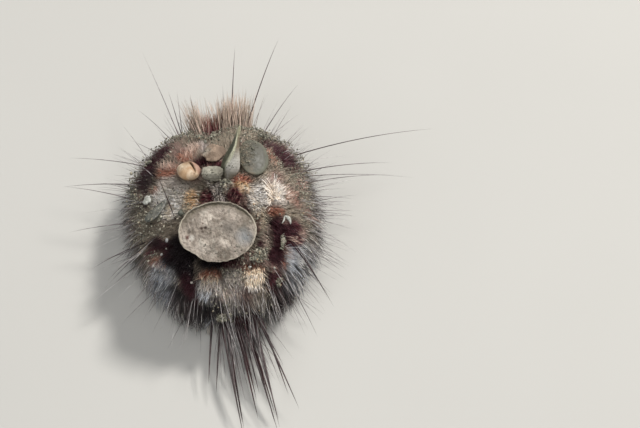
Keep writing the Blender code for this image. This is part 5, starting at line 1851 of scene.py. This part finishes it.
def pale_chip_place(turn, share, side):
    """A small pale chip with uneven corners."""
    corner = 1 + 0.10 * np.cos(3 * turn + 0.6) + 0.08 * np.cos(5 * turn + 1.0) + 0.05 * np.cos(8 * turn)
    x = 0.00135 * corner * share * np.sin(turn)
    y = 0.00105 * corner * share * np.cos(turn)
    z = side * 0.00022 * rounded(share) + 0.0003 * (1 - share**2)
    return np.stack([x, y, z], -1)


def thin_chip_place(turn, share, side):
    """The thin branch of the forked white chip."""
    return curved_chip_place(turn, share, side) * [0.5, 0.8, 0.8]


def curved_chip_place(turn, share, side):
    """The curved branch of the forked white chip."""
    x = 0.00046 * share * np.sin(turn) * (1 + 0.4 * np.cos(turn))
    y = 0.00140 * share * np.cos(turn)
    thick = side * 0.00016 * rounded(share)
    return np.stack([x - 260 * y * y, y, thick + 0.0002 * (1 - share**2)], -1)


# How bright grains on the worn pieces are
DUST_SHADE = 0.62
# Worn pieces with grains on them: how many, and towards which side (right, front)
DUSTY = [
    ("disc", 560, (-1.0, 0.4)), ("stone", 60, (0.0, -0.6)), ("shell_large", 150, (0.3, -0.8)),
    ("shell_upright", 40, (0.0, -1.0)), ("shell_chip", 24, (-0.8, 0.8)), ("sliver", 30, (-0.5, -0.8)),
]


def build_grit():
    """The loose chips, the sand grains and the bits that lie on the coat."""
    dark, light, spot = srgb(136, 136, 128), srgb(190, 190, 182), srgb(104, 100, 90)
    white = plate_material("pale_chip_look", dark, light, spot, 1100, 0.7)
    loose_chip("pale_chip", pale_chip_place, -0.50, 0.02, 1.0, 60, 0, white)
    loose_chip("curved_chip", curved_chip_place, 0.43, -0.26, 1.0, 20, 0, white)
    loose_chip("thin_chip", thin_chip_place, 0.385, -0.27, 1.0, 72, 0, white)
    centres, sizes = scattered_grit()
    tone = brightness(marks(find_coat(centres)))
    # Grains are darker where the markings under them are dark, so they also take on the painted shadow and
    # shade of those patches
    shade = mix(0.55, 1.0, smooth(0.02, 0.16, tone))
    shade[-sum(row[4] for row in LUMPS):] = LUMP_SHADE
    dark = [shade]
    for i, (piece, count, low_side) in enumerate(DUSTY):
        more, more_sizes = dust_on(piece, count, low_side, 80 + i)
        centres, sizes = np.concatenate([centres, more]), np.concatenate([sizes, more_sizes])
        dark.append(np.full(len(more), DUST_SHADE))
    dark = np.concatenate(dark)[:, None]
    look = grit_material()
    big, right = sizes > BIG_GRAIN, centres[:, 0] > 0
    for name, keep, rounder in (
        ("grit", big, True),
        ("fine_grit_right", ~big & right, False),
        ("fine_grit_left", ~big & ~right, False),
    ):
        points, faces, per = grains(centres[keep], sizes[keep], 62, rounder)
        colours = np.repeat(grain_colours(keep.sum(), 63) * dark[keep], per, axis=0)
        obj = mesh_object(name, points, faces, smooth_shaded=rounder)
        paint(obj, "mark", colours)
        dress(obj, look, "shoulder_left")
    rows = np.array([row[:3] for row in BITS])
    places = onto_coat(coat_surface(*unchart(rows[:, 0], rows[:, 1]), np.full(len(rows), 0.95)), 66)
    points, faces, per = grains(places, rows[:, 2] / 1000, 64, True)
    obj = mesh_object("bits", points, faces, smooth_shaded=False)
    paint(obj, "mark", np.repeat(np.array([row[3] for row in BITS]), per, axis=0))
    dress(obj, look, "shoulder_left")


def area_light(name, place, target, size, energy, colour):
    """A round soft light that points at a place."""
    light = bpy.data.lights.new(name, "AREA")
    light.shape = "DISK"
    light.size = size
    light.energy = energy
    light.color = colour
    obj = bpy.data.objects.new(name, light)
    obj.location = place
    obj.rotation_euler = (Vector(target) - Vector(place)).to_track_quat("-Z", "Y").to_euler()
    bpy.context.scene.collection.objects.link(obj)


def build_stage():
    """The camera at the view of the photo, the pale floor and the soft lights."""
    right, back = Vector(VIEW_RIGHT), Vector(VIEW_BACK)
    target = Vector(VIEW_TARGET)
    camera = bpy.data.cameras.new("camera")
    camera.sensor_width = 36
    camera.lens = 36 * VIEW_DISTANCE / VIEW_WIDTH
    camera.clip_start = 0.01
    obj = bpy.data.objects.new("camera", camera)
    obj.matrix_world = Matrix.Translation(target + back * VIEW_DISTANCE) @ Matrix(
        (right, back.cross(right), back)
    ).transposed().to_4x4()
    bpy.context.scene.collection.objects.link(obj)
    bpy.context.scene.camera = obj

    size = 4.0
    corners = np.array([(-size, -size, 0), (size, -size, 0), (size, size, 0), (-size, size, 0)], float)
    floor = mesh_object("floor", corners, np.array([(0, 1, 2), (0, 2, 3)]))
    g = Graph("floor_look", specular=0.2)
    tone = g.noise(9, 3.0, 0.5)
    colour = g.blend(tone, srgb(176, 174, 169), srgb(182, 180, 175))
    floor.data.materials.append(g.finish(colour, 0.9))

    middle = (0.0, 0.0, 0.01)
    area_light("key", (0.84, 0.60, 1.10), middle, 0.26, 27.0, (1.0, 0.985, 0.96))
    area_light("fill", (-1.0, -0.7, 1.0), middle, 1.0, 5.5, (0.94, 0.97, 1.0))
    area_light("top", (0.05, -0.30, 1.4), middle, 0.6, 8.5, (1.0, 1.0, 1.0))
    world = bpy.data.worlds.new("studio")
    world.use_nodes = True
    world.node_tree.nodes["Background"].inputs["Color"].default_value = (0.84, 0.86, 0.88, 1)
    world.node_tree.nodes["Background"].inputs["Strength"].default_value = 0.22
    bpy.context.scene.world = world
    bpy.context.scene.view_settings.view_transform = "Standard"


find_coat = coat_finder()
build_stage()
build_worn()
WORN_TREE = worn_tree()
COAT_TREE = build_body()
build_grit()
